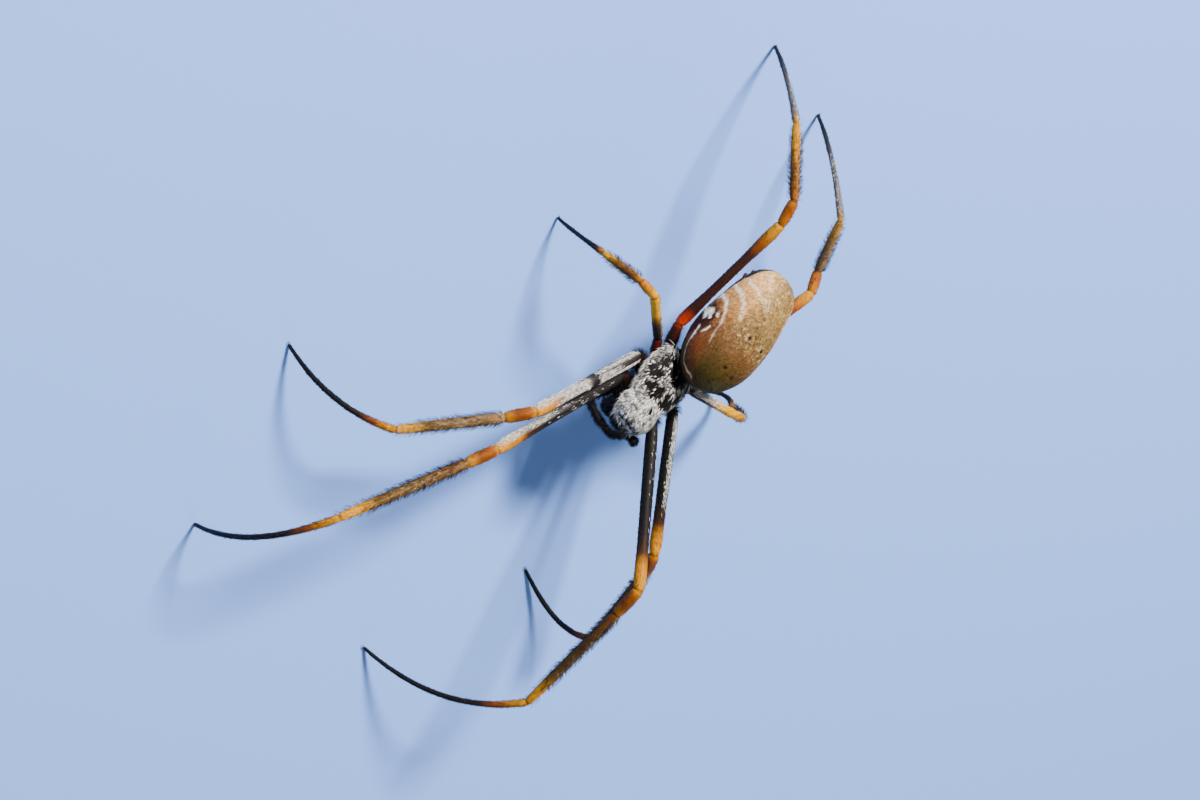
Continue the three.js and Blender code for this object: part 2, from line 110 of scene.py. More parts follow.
# Abdomen: half-width in mm, height over width, and shares of the half-width by place, front to back
ABDOMEN_LENGTH = 12.95
ABDOMEN_GIRTH = 3.45
ABDOMEN_HEIGHT = 0.98
ABDOMEN_FRONT = np.array([-0.2, 2.75, 12.45])
ABDOMEN_PITCH = math.radians(-12.5)
ABDOMEN_PROFILE = [
    (0, 0.02), (0.01, 0.26), (0.04, 0.48), (0.08, 0.64), (0.15, 0.8), (0.24, 0.93), (0.35, 1),
    (0.5, 0.99), (0.66, 0.91), (0.8, 0.8), (0.9, 0.67), (0.96, 0.48), (0.99, 0.26), (1, 0.02),
]
SPINNERET_PLACE, SPINNERET_SUNK, SPINNERET_TILT = 0.88, 0.1, math.radians(28)
# Spinnerets of one side: mm aside and back, length and half-thickness
SPINNERETS = [(0.5, -0.45, 1.5, 0.36), (0.28, 0.05, 1.0, 0.2), (0.5, 0.5, 1.3, 0.3)]
SPINNERET_PROFILE = [(0, 1), (0.6, 0.95), (0.66, 0.85), (0.85, 0.6), (1, 0.3)]

# Legs: lengths, half-thickness, x and y where the coxa starts, and the hip where it ends
SEGMENTS = ("coxa", "femur", "patella", "tibia", "foot")
LEG_KEYS = ("femur", "patella", "tibia", "foot", "girth", "root", "hip")
LEG_PAIRS = {
    1: (14.8, 3.2, 12, 16.6, 0.58, (1.7, -1.95), (3.3, -2.35, -0.15)),
    2: (12.8, 2.7, 9.2, 11.8, 0.58, (1.75, -0.4), (3.7, -0.1, 0)),
    3: (6.3, 2.1, 4.4, 7.3, 0.47, (1.75, 1.2), (3.5, 2.35, -0.12)),
    4: (12.7, 2.4, 6.8, 11.9, 0.53, (1.65, 2.7), (3.2, 4.6, 0.1)),
}
LEG_PAIRS = {pair: dict(zip(LEG_KEYS, sizes)) for pair, sizes in LEG_PAIRS.items()}
# The pose: each segment's turn from straight ahead to its side and its rise in degrees, and the tip in mm
POSE_KEYS = ("femur", "patella", "tibia", "ankle", "tip")
LEG_POSES = {
    (1, "right"): ((22.5, 13.5), (27, 10.5), (20.5, -1), (12, -17), (14, -37.5)),
    (2, "right"): ((26.5, 16), (27.5, -13), (27, -21.5), (53, -22.5), (22, -22)),
    (3, "right"): ((100.5, 23), (82, -6.5), (75, -64.5), (69, -72), (14, 3.5)),
    (4, "right"): ((159, 19), (146, 8), (141.5, -29), (153.5, -52.5), (13, 28.5)),
    (1, "left"): ((31, 32.5), (29.5, -22), (24, -19.5), (-9.5, -37.5), (8.5, -32.5)),
    (2, "left"): ((43, 14), (55, -23.5), (38.5, -24.5), (43.5, -63.5), (14, -16.5)),
    (3, "left"): ((112, -4), (112, -25), (115, -65.5), (156.5, -57.5), (10, 4.5)),
    (4, "left"): ((169, -8), (193, -30.5), (239, 26.5), (240, -13.5), (-4, 29)),
}
LEG_POSES = {leg: dict(zip(POSE_KEYS, pose)) for leg, pose in LEG_POSES.items()}
# Half-thickness along each segment, as a share of the leg's
LEG_PROFILES = {
    "coxa": [(0, 1), (0.3, 1.15), (0.58, 1.12), (0.7, 0.84), (0.85, 1), (1, 0.86)],
    "femur": [(0, 0.84), (0.08, 1), (0.4, 0.98), (0.75, 0.93), (0.92, 1.04), (1, 0.88)],
    "rear_femur": [(0, 0.9), (0.07, 1.12), (0.3, 0.86), (0.65, 0.84), (0.9, 1.08), (1, 0.92)],
    "patella": [(0, 0.86), (0.3, 1), (0.75, 0.98), (1, 0.84)],
    "tibia": [(0, 0.78), (0.12, 0.9), (0.5, 0.86), (0.9, 0.78), (1, 0.68)],
    "foot": [(0, 0.6), (0.06, 0.62), (0.3, 0.47), (0.76, 0.42), (0.8, 0.38), (0.96, 0.33), (1, 0.27)],
}
COXA_DROP = 0.45
JOINT_PINCH, JOINT_WIDTH = 0.2, 0.12
LEG_STEP, LEG_COLUMNS = 0.19, 22
# Claws: mm ahead of the tip, aside and up
CLAW_PATH = [(-0.05, 0.03, 0.16), (0.14, 0.07, 0.19), (0.27, 0.09, 0.04)]
CLAW_PROFILE = [(0, 0.045), (0.6, 0.032), (1, 0.012)]


# Colours and curves

def colour(code):
    """Linear colour from a six-figure sRGB code."""
    parts = np.array([int(code[i:i + 2], 16) for i in (1, 3, 5)]) / 255
    return np.where(parts <= 0.04045, parts / 12.92, ((parts + 0.055) / 1.055) ** 2.4)


def stops(pairs, places):
    """Colour read along a list of (place, code), linearly between neighbours."""
    xs = [place for place, _ in pairs]
    codes = np.array([colour(code) for _, code in pairs])
    return np.stack([np.interp(places, xs, codes[:, channel]) for channel in range(3)], axis=-1)


def blend_colour(first, second, share):
    """First colour where share is 0, second where it is 1."""
    share = np.clip(share, 0, 1)[..., None]
    return first * (1 - share) + second * share


def painted(tone, code, share):
    """A tone with the coded colour laid over it by share."""
    return blend_colour(tone, colour(code), share)


def soft_step(low, high, values):
    """0 below low, 1 above high, and 3t squared - 2t cubed between."""
    part = np.clip((values - low) / (high - low), 0, 1)
    return part * part * (3 - 2 * part)


def fade(low, high, values):
    """1 below low and 0 above high: 1 less the soft step."""
    return 1 - soft_step(low, high, values)


def bump(values, centre, width):
    """A bell of height 1 at centre: e to the minus square of the distance in widths."""
    return np.exp(-(((values - centre) / width) ** 2))


# Primes, so that neighbouring corners of the noise get unrelated values, and a shift in cells
NOISE_VALUES = 4093
NOISE_STRIDES = np.array([73, 1511, 2833])
NOISE_SHIFT = 500
# Points to a span of a profile, and to a whole line
SPAN_STEPS, LINE_STEPS = 12, 60


def noise(points, size, seed):
    """Random values from -1 to 1 at the corners of cubes of the given size in mm, smoothly blended."""
    table = np.random.default_rng(seed).uniform(-1, 1, NOISE_VALUES)
    scaled = points / size + NOISE_SHIFT
    cell = np.floor(scaled).astype(np.int64)
    part = scaled - cell
    part = part * part * (3 - 2 * part)
    total = np.zeros(points.shape[:-1])
    for corner in itertools.product((0, 1), repeat=3):
        value = table[((cell + corner) @ NOISE_STRIDES) % NOISE_VALUES]
        total += value * np.prod(np.where(corner, part, 1 - part), axis=-1)
    return total


def between(pairs, places):
    """Straight lines through the pairs."""
    xs, ys = np.array(pairs, float).T
    return np.interp(places, xs, ys)


def catmull_rom(padded, count):
    """Curve through all points but the outer two: each span is a cubic that leaves b along c - a."""
    t = np.linspace(0, 1, count, endpoint=False)[:, None]
    pieces = []
    for a, b, c, d in zip(padded, padded[1:], padded[2:], padded[3:]):
        curve = 2 * b + (c - a) * t + (2 * a - 5 * b + 4 * c - d) * t**2 + (3 * b - a - 3 * c + d) * t**3
        pieces.append(curve / 2)
    return np.vstack([*pieces, padded[-2:-1]])


def smoothly(pairs, places):
    """Catmull-Rom curve through the pairs, read at the given places."""
    points = np.array(pairs, float)
    curve = catmull_rom(np.vstack([points[:1], points, points[-1:]]), SPAN_STEPS)
    return np.interp(places, curve[:, 0], curve[:, 1])


def curve_through(points):
    """Catmull-Rom curve through a few points in space, its ends running straight out."""
    points = np.asarray(points, float)
    padded = np.vstack([2 * points[0] - points[1], points, 2 * points[-1] - points[-2]])
    return catmull_rom(padded, LINE_STEPS // (len(points) - 1) + 2)


def mirrored(points, hand):
    """The left side's points on the given side."""
    return np.asarray(points, float) * np.array([hand, 1, 1])


def unit(vectors):
    """Vectors of length 1."""
    vectors = np.asarray(vectors, float)
    return vectors / np.maximum(np.linalg.norm(vectors, axis=-1, keepdims=True), 1e-12)


def turned(points, pitch, place):
    """Points turned about X by pitch and moved to place."""
    x, y, z = np.moveaxis(np.asarray(points, float), -1, 0)
    back = y * math.cos(pitch) - z * math.sin(pitch)
    up = y * math.sin(pitch) + z * math.cos(pitch)
    return np.stack([x, back, up], axis=-1) + place


def from_prosoma(points):
    """From the front body's own frame to the model's."""
    return turned(points, PROSOMA_PITCH, PROSOMA_PLACE)


def from_abdomen(points):
    """From the abdomen's own frame to the model's."""
    return turned(points, ABDOMEN_PITCH, ABDOMEN_FRONT)


# Grids: rows of points around a body, counter-clockwise about the way it runs

def ring_angles(columns):
    """Angles of a ring's points, in radians."""
    return np.arange(columns) / columns * 2 * math.pi


def evenly(points, spacing, crowded=()):
    """The line in even steps, shorter near the crowded points, with its own and the given arc lengths."""
    pull, reach, fine_steps = 1.5, 0.35, 4000
    points = np.asarray(points, float)
    arc = np.concatenate([[0], np.cumsum(np.linalg.norm(np.diff(points, axis=0), axis=1))])
    fine = np.linspace(0, arc[-1], fine_steps)
    density = 1 + sum(pull * bump(fine, arc[index], reach) for index in crowded)
    total = np.cumsum(density * np.ones(len(fine)))
    total = (total - total[0]) * fine[1]
    count = max(4, int(round(total[-1] / spacing)) + 1)
    wanted = np.interp(np.linspace(0, total[-1], count), total, fine)
    line = np.stack([np.interp(wanted, arc, points[:, axis]) for axis in range(3)], axis=-1)
    return line, wanted, arc


def softened(line, width):
    """Each point becomes the mean of its neighbours, which rounds the corners; the ends stay."""
    padded = np.vstack([2 * line[0] - line[width:0:-1], line, 2 * line[-1] - line[-2:-width - 2:-1]])
    total = np.cumsum(np.vstack([np.zeros((1, 3)), padded]), axis=0)
    span = 2 * width + 1
    return (total[span:] - total[:-span]) / span


def tube(line, radii, side, columns):
    """Round rings across a line; the side direction is carried along so that nothing twists."""
    along = unit(np.gradient(line, axis=0))
    sides = np.empty_like(line)
    carried = np.asarray(side, float)
    for index, direction in enumerate(along):
        carried = unit(carried - direction * carried.dot(direction))
        sides[index] = carried
    tops = np.cross(along, sides)
    angles = ring_angles(columns)[:, None]
    spokes = sides[:, None] * np.cos(angles) + tops[:, None] * np.sin(angles)
    return line[:, None] + spokes * radii[:, None, None]


def dome(near):
    """Height of a circle as a share of its radius, near being 0 at its rim and 1 at the tip."""
    return np.sqrt(np.clip(1 - np.clip(near, 0, 1) ** 2, 1e-4, 1))


def rounded(radii, arc, start=True, end=True):
    """Closes a tube's ends as domes: near an end the radius follows a circle."""
    radii = radii.copy()
    if start:
        radii *= dome(1 - arc / radii[0])
    if end:
        radii *= dome(1 - (arc[-1] - arc) / radii[-1])
    return radii


def limb(points, spacing, profile, side, columns, girth=1, depth=0, joints=(), read=between,
         start=True, end=True):
    """A tube with even rings along a line, and the place of each ring along it, from 0 to 1.

    Its half-thickness is the girth times the profile, pinched in a bell at each joint, less the depth.
    """
    line, arc, _ = evenly(points, spacing)
    place = arc / arc[-1]
    radii = girth * read(profile, place)
    for joint in joints:
        radii = radii * (1 - JOINT_PINCH * bump(place, joint, PALP_JOINT_WIDTH))
    return tube(line, rounded(radii - depth, arc, start, end), side, columns), place


def box_ring(ys, halves, top, bottom, columns):
    """Rings along Y, made boxy by powers of sine and cosine, and blunt at both ends."""
    squareness, blunt_end = 0.6, 0.4
    angle = -ring_angles(columns)
    end = np.minimum(ys - ys[0], ys[-1] - ys) / blunt_end
    closing = np.sqrt(np.clip(1 - (1 - np.clip(end, 0, 1)) ** 2, 0.02, 1))
    across = np.sign(np.cos(angle)) * np.abs(np.cos(angle)) ** squareness
    high = np.abs(np.sin(angle)) ** squareness
    x = (halves * closing)[:, None] * across
    z = np.where(np.sin(angle) > 0, top * high, bottom * high) * closing[:, None]
    y = np.broadcast_to(ys[:, None], x.shape)
    return np.stack([x, y, z], axis=-1)


def ball(centre, half_sizes, rows=24, columns=32):
    """Ellipsoid with its poles along Y, each cut off by a tiny flat."""
    pole = 0.02
    polar = np.linspace(pole, math.pi - pole, rows)[:, None]
    angle = -ring_angles(columns)
    level = np.broadcast_to(-np.cos(polar), (rows, columns))
    grid = np.stack([np.sin(polar) * np.cos(angle), level, np.sin(polar) * np.sin(angle)], axis=-1)
    return grid * np.array(half_sizes) + np.array(centre)


def grid_quads(rows, columns):
    """Quads between neighbouring rows, closed around each row."""
    first = np.arange(rows - 1)[:, None] * columns
    here = first + np.arange(columns)
    beside = first + (np.arange(columns) + 1) % columns
    return np.stack([here, beside, beside + columns, here + columns], axis=-1).reshape(-1, 4)


def placed(name, data):
    """An object of the data, in the scene."""
    made = bpy.data.objects.new(name, data)
    bpy.context.scene.collection.objects.link(made)
    return made


def make_mesh(name, points, faces, colours, materials, slots=None, uv=None):
    """A smooth mesh object from arrays: faces is a list of index arrays, one row a face."""
    mesh = bpy.data.meshes.new(name)
    loops = np.concatenate([part.ravel() for part in faces]).astype(np.int32)
    sizes = np.concatenate([np.full(len(part), part.shape[1]) for part in faces])
    starts = np.concatenate([[0], np.cumsum(sizes)[:-1]]).astype(np.int32)
    mesh.vertices.add(len(points))
    mesh.vertices.foreach_set("co", ((points + STAND_OFFSET) * MM).astype(np.float32).ravel())
    mesh.loops.add(len(loops))
    mesh.loops.foreach_set("vertex_index", loops)
    mesh.polygons.add(len(sizes))
    mesh.polygons.foreach_set("loop_start", starts)
    if slots is not None:
        mesh.polygons.foreach_set("material_index", slots.astype(np.int32))
    mesh.polygons.foreach_set("use_smooth", np.full(len(sizes), True))
    tone = mesh.attributes.new("tone", "FLOAT_COLOR", "POINT")
    rgba = np.concatenate([colours, np.ones((len(colours), 1))], axis=1)
    tone.data.foreach_set("color", rgba.astype(np.float32).ravel())
    if uv is not None:
        layer = mesh.uv_layers.new(name="OFBake")
        layer.data.foreach_set("uv", uv[loops].astype(np.float32).ravel())
    for material in materials:
        mesh.materials.append(material)
    mesh.update(calc_edges=True)
    return placed(name, mesh)


class Skin:
    """Closed grids gathered into one mesh, with a colour at each point and a material slot each."""

    def __init__(self):
        self.grids = []

    def add(self, grid, colours, slot=0):
        """One more grid, with one colour or a colour for each point."""
        self.grids.append((grid, np.broadcast_to(colours, grid.shape), slot))

    def add_front_part(self, grid, code):
        """A plain grid that is given in the front body's frame."""
        self.add(from_prosoma(grid), colour(code))

    def build(self, name, materials):
        """The mesh object: quads between the rows, and one flat face over each end."""
        points, colours, faces, slots = [], [], [], []
        start = 0
        for grid, tones, slot in self.grids:
            rows, columns = grid.shape[:2]
            quads = grid_quads(rows, columns) + start
            first = np.arange(columns)[::-1][None] + start
            last = np.arange(columns)[None] + start + (rows - 1) * columns
            faces += [quads, first, last]
            slots.append(np.full(len(quads) + 2, slot))
            points.append(grid.reshape(-1, 3))
            colours.append(tones.reshape(-1, 3))
            start += rows * columns
        points, colours, slots = np.vstack(points), np.vstack(colours), np.concatenate(slots)
        return make_mesh(name, points, faces, colours, materials, slots)


# Hair: thin solid blades on a grid, fewer and several times thicker than real hairs, so that they show

def cell_normals(grid):
    """Cross product of each cell's diagonals: it points outwards, as long as twice the cell's area."""
    beside = np.roll(grid, -1, axis=1)
    return np.cross(beside[1:] - grid[:-1], grid[1:] - beside[:-1])


def scatter(grid, count, weight=None):
    """Random places on a grid, as many on each cell as its area and weight call for."""
    beside = np.roll(grid, -1, axis=1)
    normal = cell_normals(grid)
    chance = np.linalg.norm(normal, axis=-1)
    if weight is not None:
        chance = chance * weight[:-1]
    chance = chance.ravel() / chance.sum()
    cells = rng.choice(len(chance), size=count, p=chance)
    rows, columns = np.divmod(cells, grid.shape[1])
    u, v = rng.random(count), rng.random(count)
    wu, wv = u[:, None], v[:, None]
    low = grid[rows, columns] * (1 - wu) + beside[rows, columns] * wu
    high = grid[rows + 1, columns] * (1 - wu) + beside[rows + 1, columns] * wu
    return dict(
        point=low * (1 - wv) + high * wv,
        normal=unit(normal[rows, columns]),
        along=unit(high - low),
        cell=(rows, columns),
        uv=np.stack([(columns + u) / grid.shape[1], (rows + v) / (grid.shape[0] - 1)], axis=-1),
    )


def shifted(roots, distance):
    """The same roots moved a little at random within the skin, for the hairs of a tuft."""
    side = np.cross(roots["normal"], roots["along"])
    shift = rng.normal(0, distance, (2, len(side), 1))
    return {**roots, "point": roots["point"] + side * shift[0] + roots["along"] * shift[1]}


def shaded(base, count, spread=0.12):
    """One colour for each hair, a little lighter or darker than the base."""
    base = np.broadcast_to(base, (count, 3))
    return np.clip(base * (1 + rng.normal(0, spread, (count, 1))), 0, 1)


# A blade has a triangle at its root and one half way up, both with points 120 degrees apart, and a tip
BLADE_FACES = np.array([
    (0, 2, 1), (0, 1, 4), (0, 4, 3), (1, 2, 5), (1, 5, 4),
    (2, 0, 3), (2, 3, 5), (3, 4, 6), (4, 5, 6), (5, 3, 6),
])
BLADE_POINTS = 7
BLADE_TRIANGLES = ((0, 1.0), (0.5, 0.75))
# Its seven points lie in a patch of the OFBake map, of this half-width, and each strip keeps its margins
PATCH = 0.0015
MARGIN_U, MARGIN_V = 0.02, 0.004
PATCH_SHIFTS = np.array([(-1, -1), (0, -1), (1, -1), (-1, 0), (0, 0), (1, 0), (0, 1)]) * PATCH


class Coat:
    """Blades gathered into one piece, each with its colour and its patch of the OFBake map."""

    def __init__(self, strips):
        """The map is divided into upright strips, one for each part of the body that carries blades."""
        self.strips = strips
        self.parts = []

    def add(self, roots, lie, length, lift, thickness, colours, strip, flatness=1.0):
        """Blades from roots: lie is the way they lean and lift the angle in radians off the skin, half as
        steep in the outer half. flatness is how many times wider than thick they are."""
        count = len(roots["point"])
        normal = roots["normal"]
        lie = unit(lie - normal * np.sum(lie * normal, axis=1, keepdims=True))
        sizes = [np.broadcast_to(size, count)[:, None] for size in (length, lift, thickness)]
        length, lift, thickness = sizes
        first = lie * np.cos(lift) + normal * np.sin(lift)
        second = lie * np.cos(lift * 0.5) + normal * np.sin(lift * 0.5)
        across = unit(np.cross(first, normal))
        over = np.cross(across, first)
        root = roots["point"] - normal * thickness * 0.5
        corners = []
        for share, girth in BLADE_TRIANGLES:
            for turn in range(3):
                angle = math.pi / 2 + turn * 2 * math.pi / 3
                spoke = across * math.cos(angle) * flatness + over * math.sin(angle)
                corners.append(root + first * length * share + spoke * thickness * girth)
        corners.append(root + first * length * 0.5 + second * length * 0.5)
        points = np.stack(corners, axis=1).reshape(-1, 3)
        u = (strip + MARGIN_U + (1 - 2 * MARGIN_U) * roots["uv"][:, 0]) / self.strips
        v = MARGIN_V + (1 - 2 * MARGIN_V) * roots["uv"][:, 1]
        uv = np.stack([u, v], axis=-1)[:, None] + PATCH_SHIFTS
        tones = np.repeat(np.broadcast_to(colours, (count, 3)), BLADE_POINTS, axis=0)
        self.parts.append((points, tones, uv.reshape(-1, 2)))

    def build(self, name, material):
        """The mesh object, with nothing reaching below the floor."""
        points, tones, uv = (np.vstack(rows) for rows in zip(*self.parts))
        points[:, 2] = np.maximum(points[:, 2], 0)
        starts = np.arange(len(points) // BLADE_POINTS)[:, None, None] * BLADE_POINTS
        faces = (starts + BLADE_FACES).reshape(-1, 3)
        return make_mesh(name, points, [faces], tones, [material], uv=np.clip(uv, 0, 1))


# Materials. Sizes of patterns are in millimetres.

def node(tree, kind, settings):
    """Adds a node; each setting is a property, or a value or link of the input of that name or number."""
    made = tree.nodes.new(kind)
    for key, value in settings.items():
        if isinstance(value, bpy.types.NodeSocket):
            tree.links.new(value, made.inputs[key])
        elif key in made.inputs:
            made.inputs[key].default_value = value
        else:
            setattr(made, key, value)
    return made


def start_material(name, settings):
    """A material with its shader's own sockets set, its node tree and that shader."""
    material = bpy.data.materials.new(name)
    material.use_nodes = True
    tree = material.node_tree
    shader = tree.nodes["Principled BSDF"]
    for socket, value in settings.items():
        shader.inputs[socket].default_value = value
    return material, tree, shader


def tint(tree, shader, factor):
    """Colours the shader by the mesh's own tones, times a factor."""
    tone = node(tree, "ShaderNodeAttribute", {"attribute_name": "tone"}).outputs["Color"]
    shade = node(tree, "ShaderNodeVectorMath", {"operation": "SCALE", 0: tone, "Scale": factor})
    tree.links.new(shade.outputs["Vector"], shader.inputs["Base Color"])


def add_relief(tree, shader, place, grain, depth):
    """Raises cells of the grain's size, and clouds two and a half times as wide, by the depth in mm."""
    cells = node(tree, "ShaderNodeTexVoronoi", {"Vector": place, "Scale": 1 / (grain * MM)})
    clouds = node(tree, "ShaderNodeTexNoise", {
        "Vector": place, "Scale": 1 / (grain * 2.5 * MM), "Detail": 5.0,
    })
    both = node(tree, "ShaderNodeMath", {
        "operation": "ADD", 0: cells.outputs["Distance"], 1: clouds.outputs["Fac"],
    })
    relief = node(tree, "ShaderNodeBump", {
        "Strength": 0.6, "Distance": depth * MM, "Height": both.outputs["Value"],
    })
    tree.links.new(relief.outputs["Normal"], shader.inputs["Normal"])


def cuticle(name, roughness, grain, depth, mottle, strands=0.0):
    """Spider cuticle, grown as hard horn on legs and front body and soft on the abdomen.

    It looks satin and a little see-through. The markings come from the mesh, made lighter and darker by
    clouds of 0.35 mm and curled strands of 0.16 mm, and cells of the given grain raise a fine relief. The
    grain is drawn at 0.06 to 0.07 mm, coarser than the real one, so that it shows.
    """
    material, tree, shader = start_material(name, {
        "Specular IOR Level": 0.1,
        "Subsurface Weight": 0.3,
        "Subsurface Radius": (1.0, 0.35, 0.08),
        "Subsurface Scale": 0.4 * MM,
    })
    place = node(tree, "ShaderNodeTexCoord", {}).outputs["Object"]
    clouds = node(tree, "ShaderNodeTexNoise", {
        "Vector": place, "Scale": 1 / (0.35 * MM), "Detail": 4.0, "Roughness": 0.6,
    }).outputs["Fac"]
    lines = node(tree, "ShaderNodeTexNoise", {
        "Vector": place, "Scale": 1 / (0.16 * MM), "Detail": 1.0, "Distortion": 1.6,
    }).outputs["Fac"]
    shades = [
        node(tree, "ShaderNodeMapRange", {
            "Value": source, "From Min": low, "From Max": 1 - low,
            "To Min": 1 - change, "To Max": 1 + change,
        }).outputs["Result"]
        for source, low, change in ((clouds, 0.3, mottle), (lines, 0.35, strands))
    ]
    product = node(tree, "ShaderNodeMath", {"operation": "MULTIPLY", 0: shades[0], 1: shades[1]})
    tint(tree, shader, product.outputs["Value"])
    wear = node(tree, "ShaderNodeMapRange", {
        "Value": clouds, "To Min": roughness - 0.1, "To Max": roughness + 0.1,
    })
    tree.links.new(wear.outputs["Result"], shader.inputs["Roughness"])
    add_relief(tree, shader, place, grain, depth)
    return material


def hair(name, roughness):
    """Spider hair, fine smooth cuticle: the silver hair has a soft glint and the bristles a dark sheen.

    Each blade has its own colour, paler and darker in streaks of 0.12 mm.
    """
    material, tree, shader = start_material(name, {"Roughness": roughness, "Specular IOR Level": 0.25})
    place = node(tree, "ShaderNodeTexCoord", {}).outputs["Object"]
    streaks = node(tree, "ShaderNodeTexNoise", {"Vector": place, "Scale": 1 / (0.12 * MM), "Detail": 3.0})
    factor = node(tree, "ShaderNodeMapRange", {
        "Value": streaks.outputs["Fac"], "To Min": 0.75, "To Max": 1.25,
    })
    tint(tree, shader, factor.outputs["Result"])
    return material


def gloss(name, code, roughness, coat):
    """Smooth polished horn of eyes, fangs and claws: a wet-looking coat over a faint mottle of 0.2 mm."""
    material, tree, shader = start_material(name, {
        "Roughness": roughness, "Coat Weight": coat, "Coat Roughness": 0.05,
    })
    place = node(tree, "ShaderNodeTexCoord", {}).outputs["Object"]
    cloud = node(tree, "ShaderNodeTexNoise", {"Vector": place, "Scale": 1 / (0.2 * MM), "Detail": 2.0})
    ramp = node(tree, "ShaderNodeValToRGB", {"Fac": cloud.outputs["Fac"]})
    for element, factor in zip(ramp.color_ramp.elements, (0.6, 1.5)):
        element.color = (*(colour(code) * factor), 1)
    tree.links.new(ramp.outputs["Color"], shader.inputs["Base Color"])
    return material


# Abdomen

# Muscle marks on the back: place along the abdomen, mm to the left of the middle, and strength
SIGILLA = [
    (0.17, -0.72, 1), (0.17, 0.58, 1), (0.425, -1.2, 1),
    (0.44, 0.75, 1), (0.6, -1.15, 0.6), (0.6, 0.9, 0.6),
]
SIGILLUM_WIDTH, SIGILLUM_DEPTH = 0.16, 0.1
ABDOMEN_HAIRS = 16000
# Colour along the back, from front to back: darker in front partly as painted shade, and paler behind
# partly as painted sunlight
BACK_TONES = [
    (0, "#42290f"), (0.3, "#5c3c1a"), (0.5, "#845b2f"),
    (0.65, "#b28248"), (0.85, "#cc9a5e"), (1, "#b08c58"),
]
# Pale bars of each flank: points as angle down from the back and place along the abdomen,
# half-width in mm at the upper and the lower end, and strength
BARS = [
    (
        [
            (1.95, 0.585), (1.73, 0.556), (1.5, 0.53), (1.36, 0.486),
            (1.26, 0.414), (1.17, 0.33), (1.14, 0.2),
        ],
        0.23, 0.06, 1,
    ),
    ([(1.95, 0.69), (1.6, 0.677), (1.33, 0.637), (1.05, 0.57), (0.87, 0.476)], 0.22, 0.26, 0.9),
    ([(1.65, 0.79), (1.34, 0.76), (0.87, 0.71), (0.56, 0.68)], 0.08, 0.4, 0.6),
    ([(1.2, 0.9), (0.93, 0.86), (0.75, 0.77), (0.6, 0.69)], 0.22, 0.4, 0.3),
]
# The dark patch of each flank: angle, place, half-sizes around and along in mm
DARK_PATCH = (2.0, 0.37, 2.3, 1.75)
# White strokes in it: the two ends and the half-width in mm
WHITE_STROKES = [
    ((2.12, 0.45), (1.78, 0.372), 0.16), ((1.98, 0.45), (1.58, 0.378), 0.14),
    ((1.85, 0.447), (1.63, 0.418), 0.12), ((1.7, 0.292), (1.86, 0.205), 0.15),
    ((1.38, 0.307), (1.5, 0.268), 0.09), ((1.52, 0.43), (1.4, 0.39), 0.06),
]
# Pale line that runs from the strokes around the front end, and its half-width in mm
FRONT_LINE = [(1.81, 0.221), (1.9, 0.16), (1.92, 0.1), (1.9, 0.06), (1.75, 0.03), (1.2, 0.012)]
FRONT_LINE_WIDTH = 0.1
# Where the flank turns into the black belly: angle down from the back, by place
BELLY_EDGE = [(0, 2.1), (0.15, 2.15), (0.6, 2.02), (0.8, 1.76), (0.9, 1.5), (1, 1.2)]


def mark_distance(place, around, mark, side):
    """Distance in mm over the back to a muscle mark."""
    return np.hypot((place - mark) * ABDOMEN_LENGTH, around - side)


def abdomen_surface():
    """Rings along the abdomen, angle 0 on top and growing to the left; small dents at the muscle marks."""
    rows, columns, fold_height = 205, 184, 0.025
    place = (1 - np.cos(np.linspace(0, math.pi, rows))) / 2
    angle = ring_angles(columns)
    angle = np.where(angle > math.pi, angle - 2 * math.pi, angle)
    # Points lie closer on top, where the pattern is finest
    angle = angle - 0.25 * np.sin(angle)
    place, angle = np.meshgrid(place, angle, indexing="ij")
    radius = ABDOMEN_GIRTH * smoothly(ABDOMEN_PROFILE, place) - SKIN_DEPTH
    around = radius * angle
    for mark, side, strength in SIGILLA:
        dent = strength * bump(mark_distance(place, around, mark, side), 0, SIGILLUM_WIDTH)
        radius = radius - SIGILLUM_DEPTH * dent
    folds = noise(np.stack([angle * 2.2, place * 9, place * 0], -1), 1.0, 3)
    radius = radius + fold_height * folds
    x, z = radius * np.sin(angle), ABDOMEN_HEIGHT * radius * np.cos(angle)
    return np.stack([x, place * ABDOMEN_LENGTH, z], axis=-1), place, angle


def line_distance(flank, place, points):
    """Distance in mm to a line given by angle and place, and how far along it as a share."""
    u, v = flank * ABDOMEN_GIRTH, place * ABDOMEN_LENGTH
    points = [(turn * ABDOMEN_GIRTH, at * ABDOMEN_LENGTH) for turn, at in points]
    nearest = np.full(u.shape, 1e9)
    share = np.zeros(u.shape)
    for number, ((au, av), (bu, bv)) in enumerate(zip(points[:-1], points[1:])):
        du, dv = bu - au, bv - av
        part = np.clip(((u - au) * du + (v - av) * dv) / (du * du + dv * dv), 0, 1)
        away = np.hypot(u - au - part * du, v - av - part * dv)
        share = np.where(away < nearest, (number + part) / (len(points) - 1), share)
        nearest = np.minimum(nearest, away)
    return nearest, share


def back_colours(local, place, flank):
    """Brown in front and golden behind, with olive in front, a reddish shoulder and a grey-green middle;
    the dark olive front is partly painted shade and the golden rear partly painted sunlight.
    """
    tone = stops(BACK_TONES, place) * (1 + 0.14 * noise(local, 1.4, 21)[..., None])
    # Dark olive over the front: partly painted shade
    tone = painted(tone, "#322a08", bump(place, 0.05, 0.17) * fade(0.7, 1.5, flank))
    tone = painted(tone, "#6a3012", 0.6 * (bump(place, 0.16, 0.1) * bump(flank, 1.55, 0.35)))
    middle = fade(0.35, 1.0, flank)
    return painted(tone, "#5a4c26", 0.7 * (middle * soft_step(0.25, 0.5, place)))


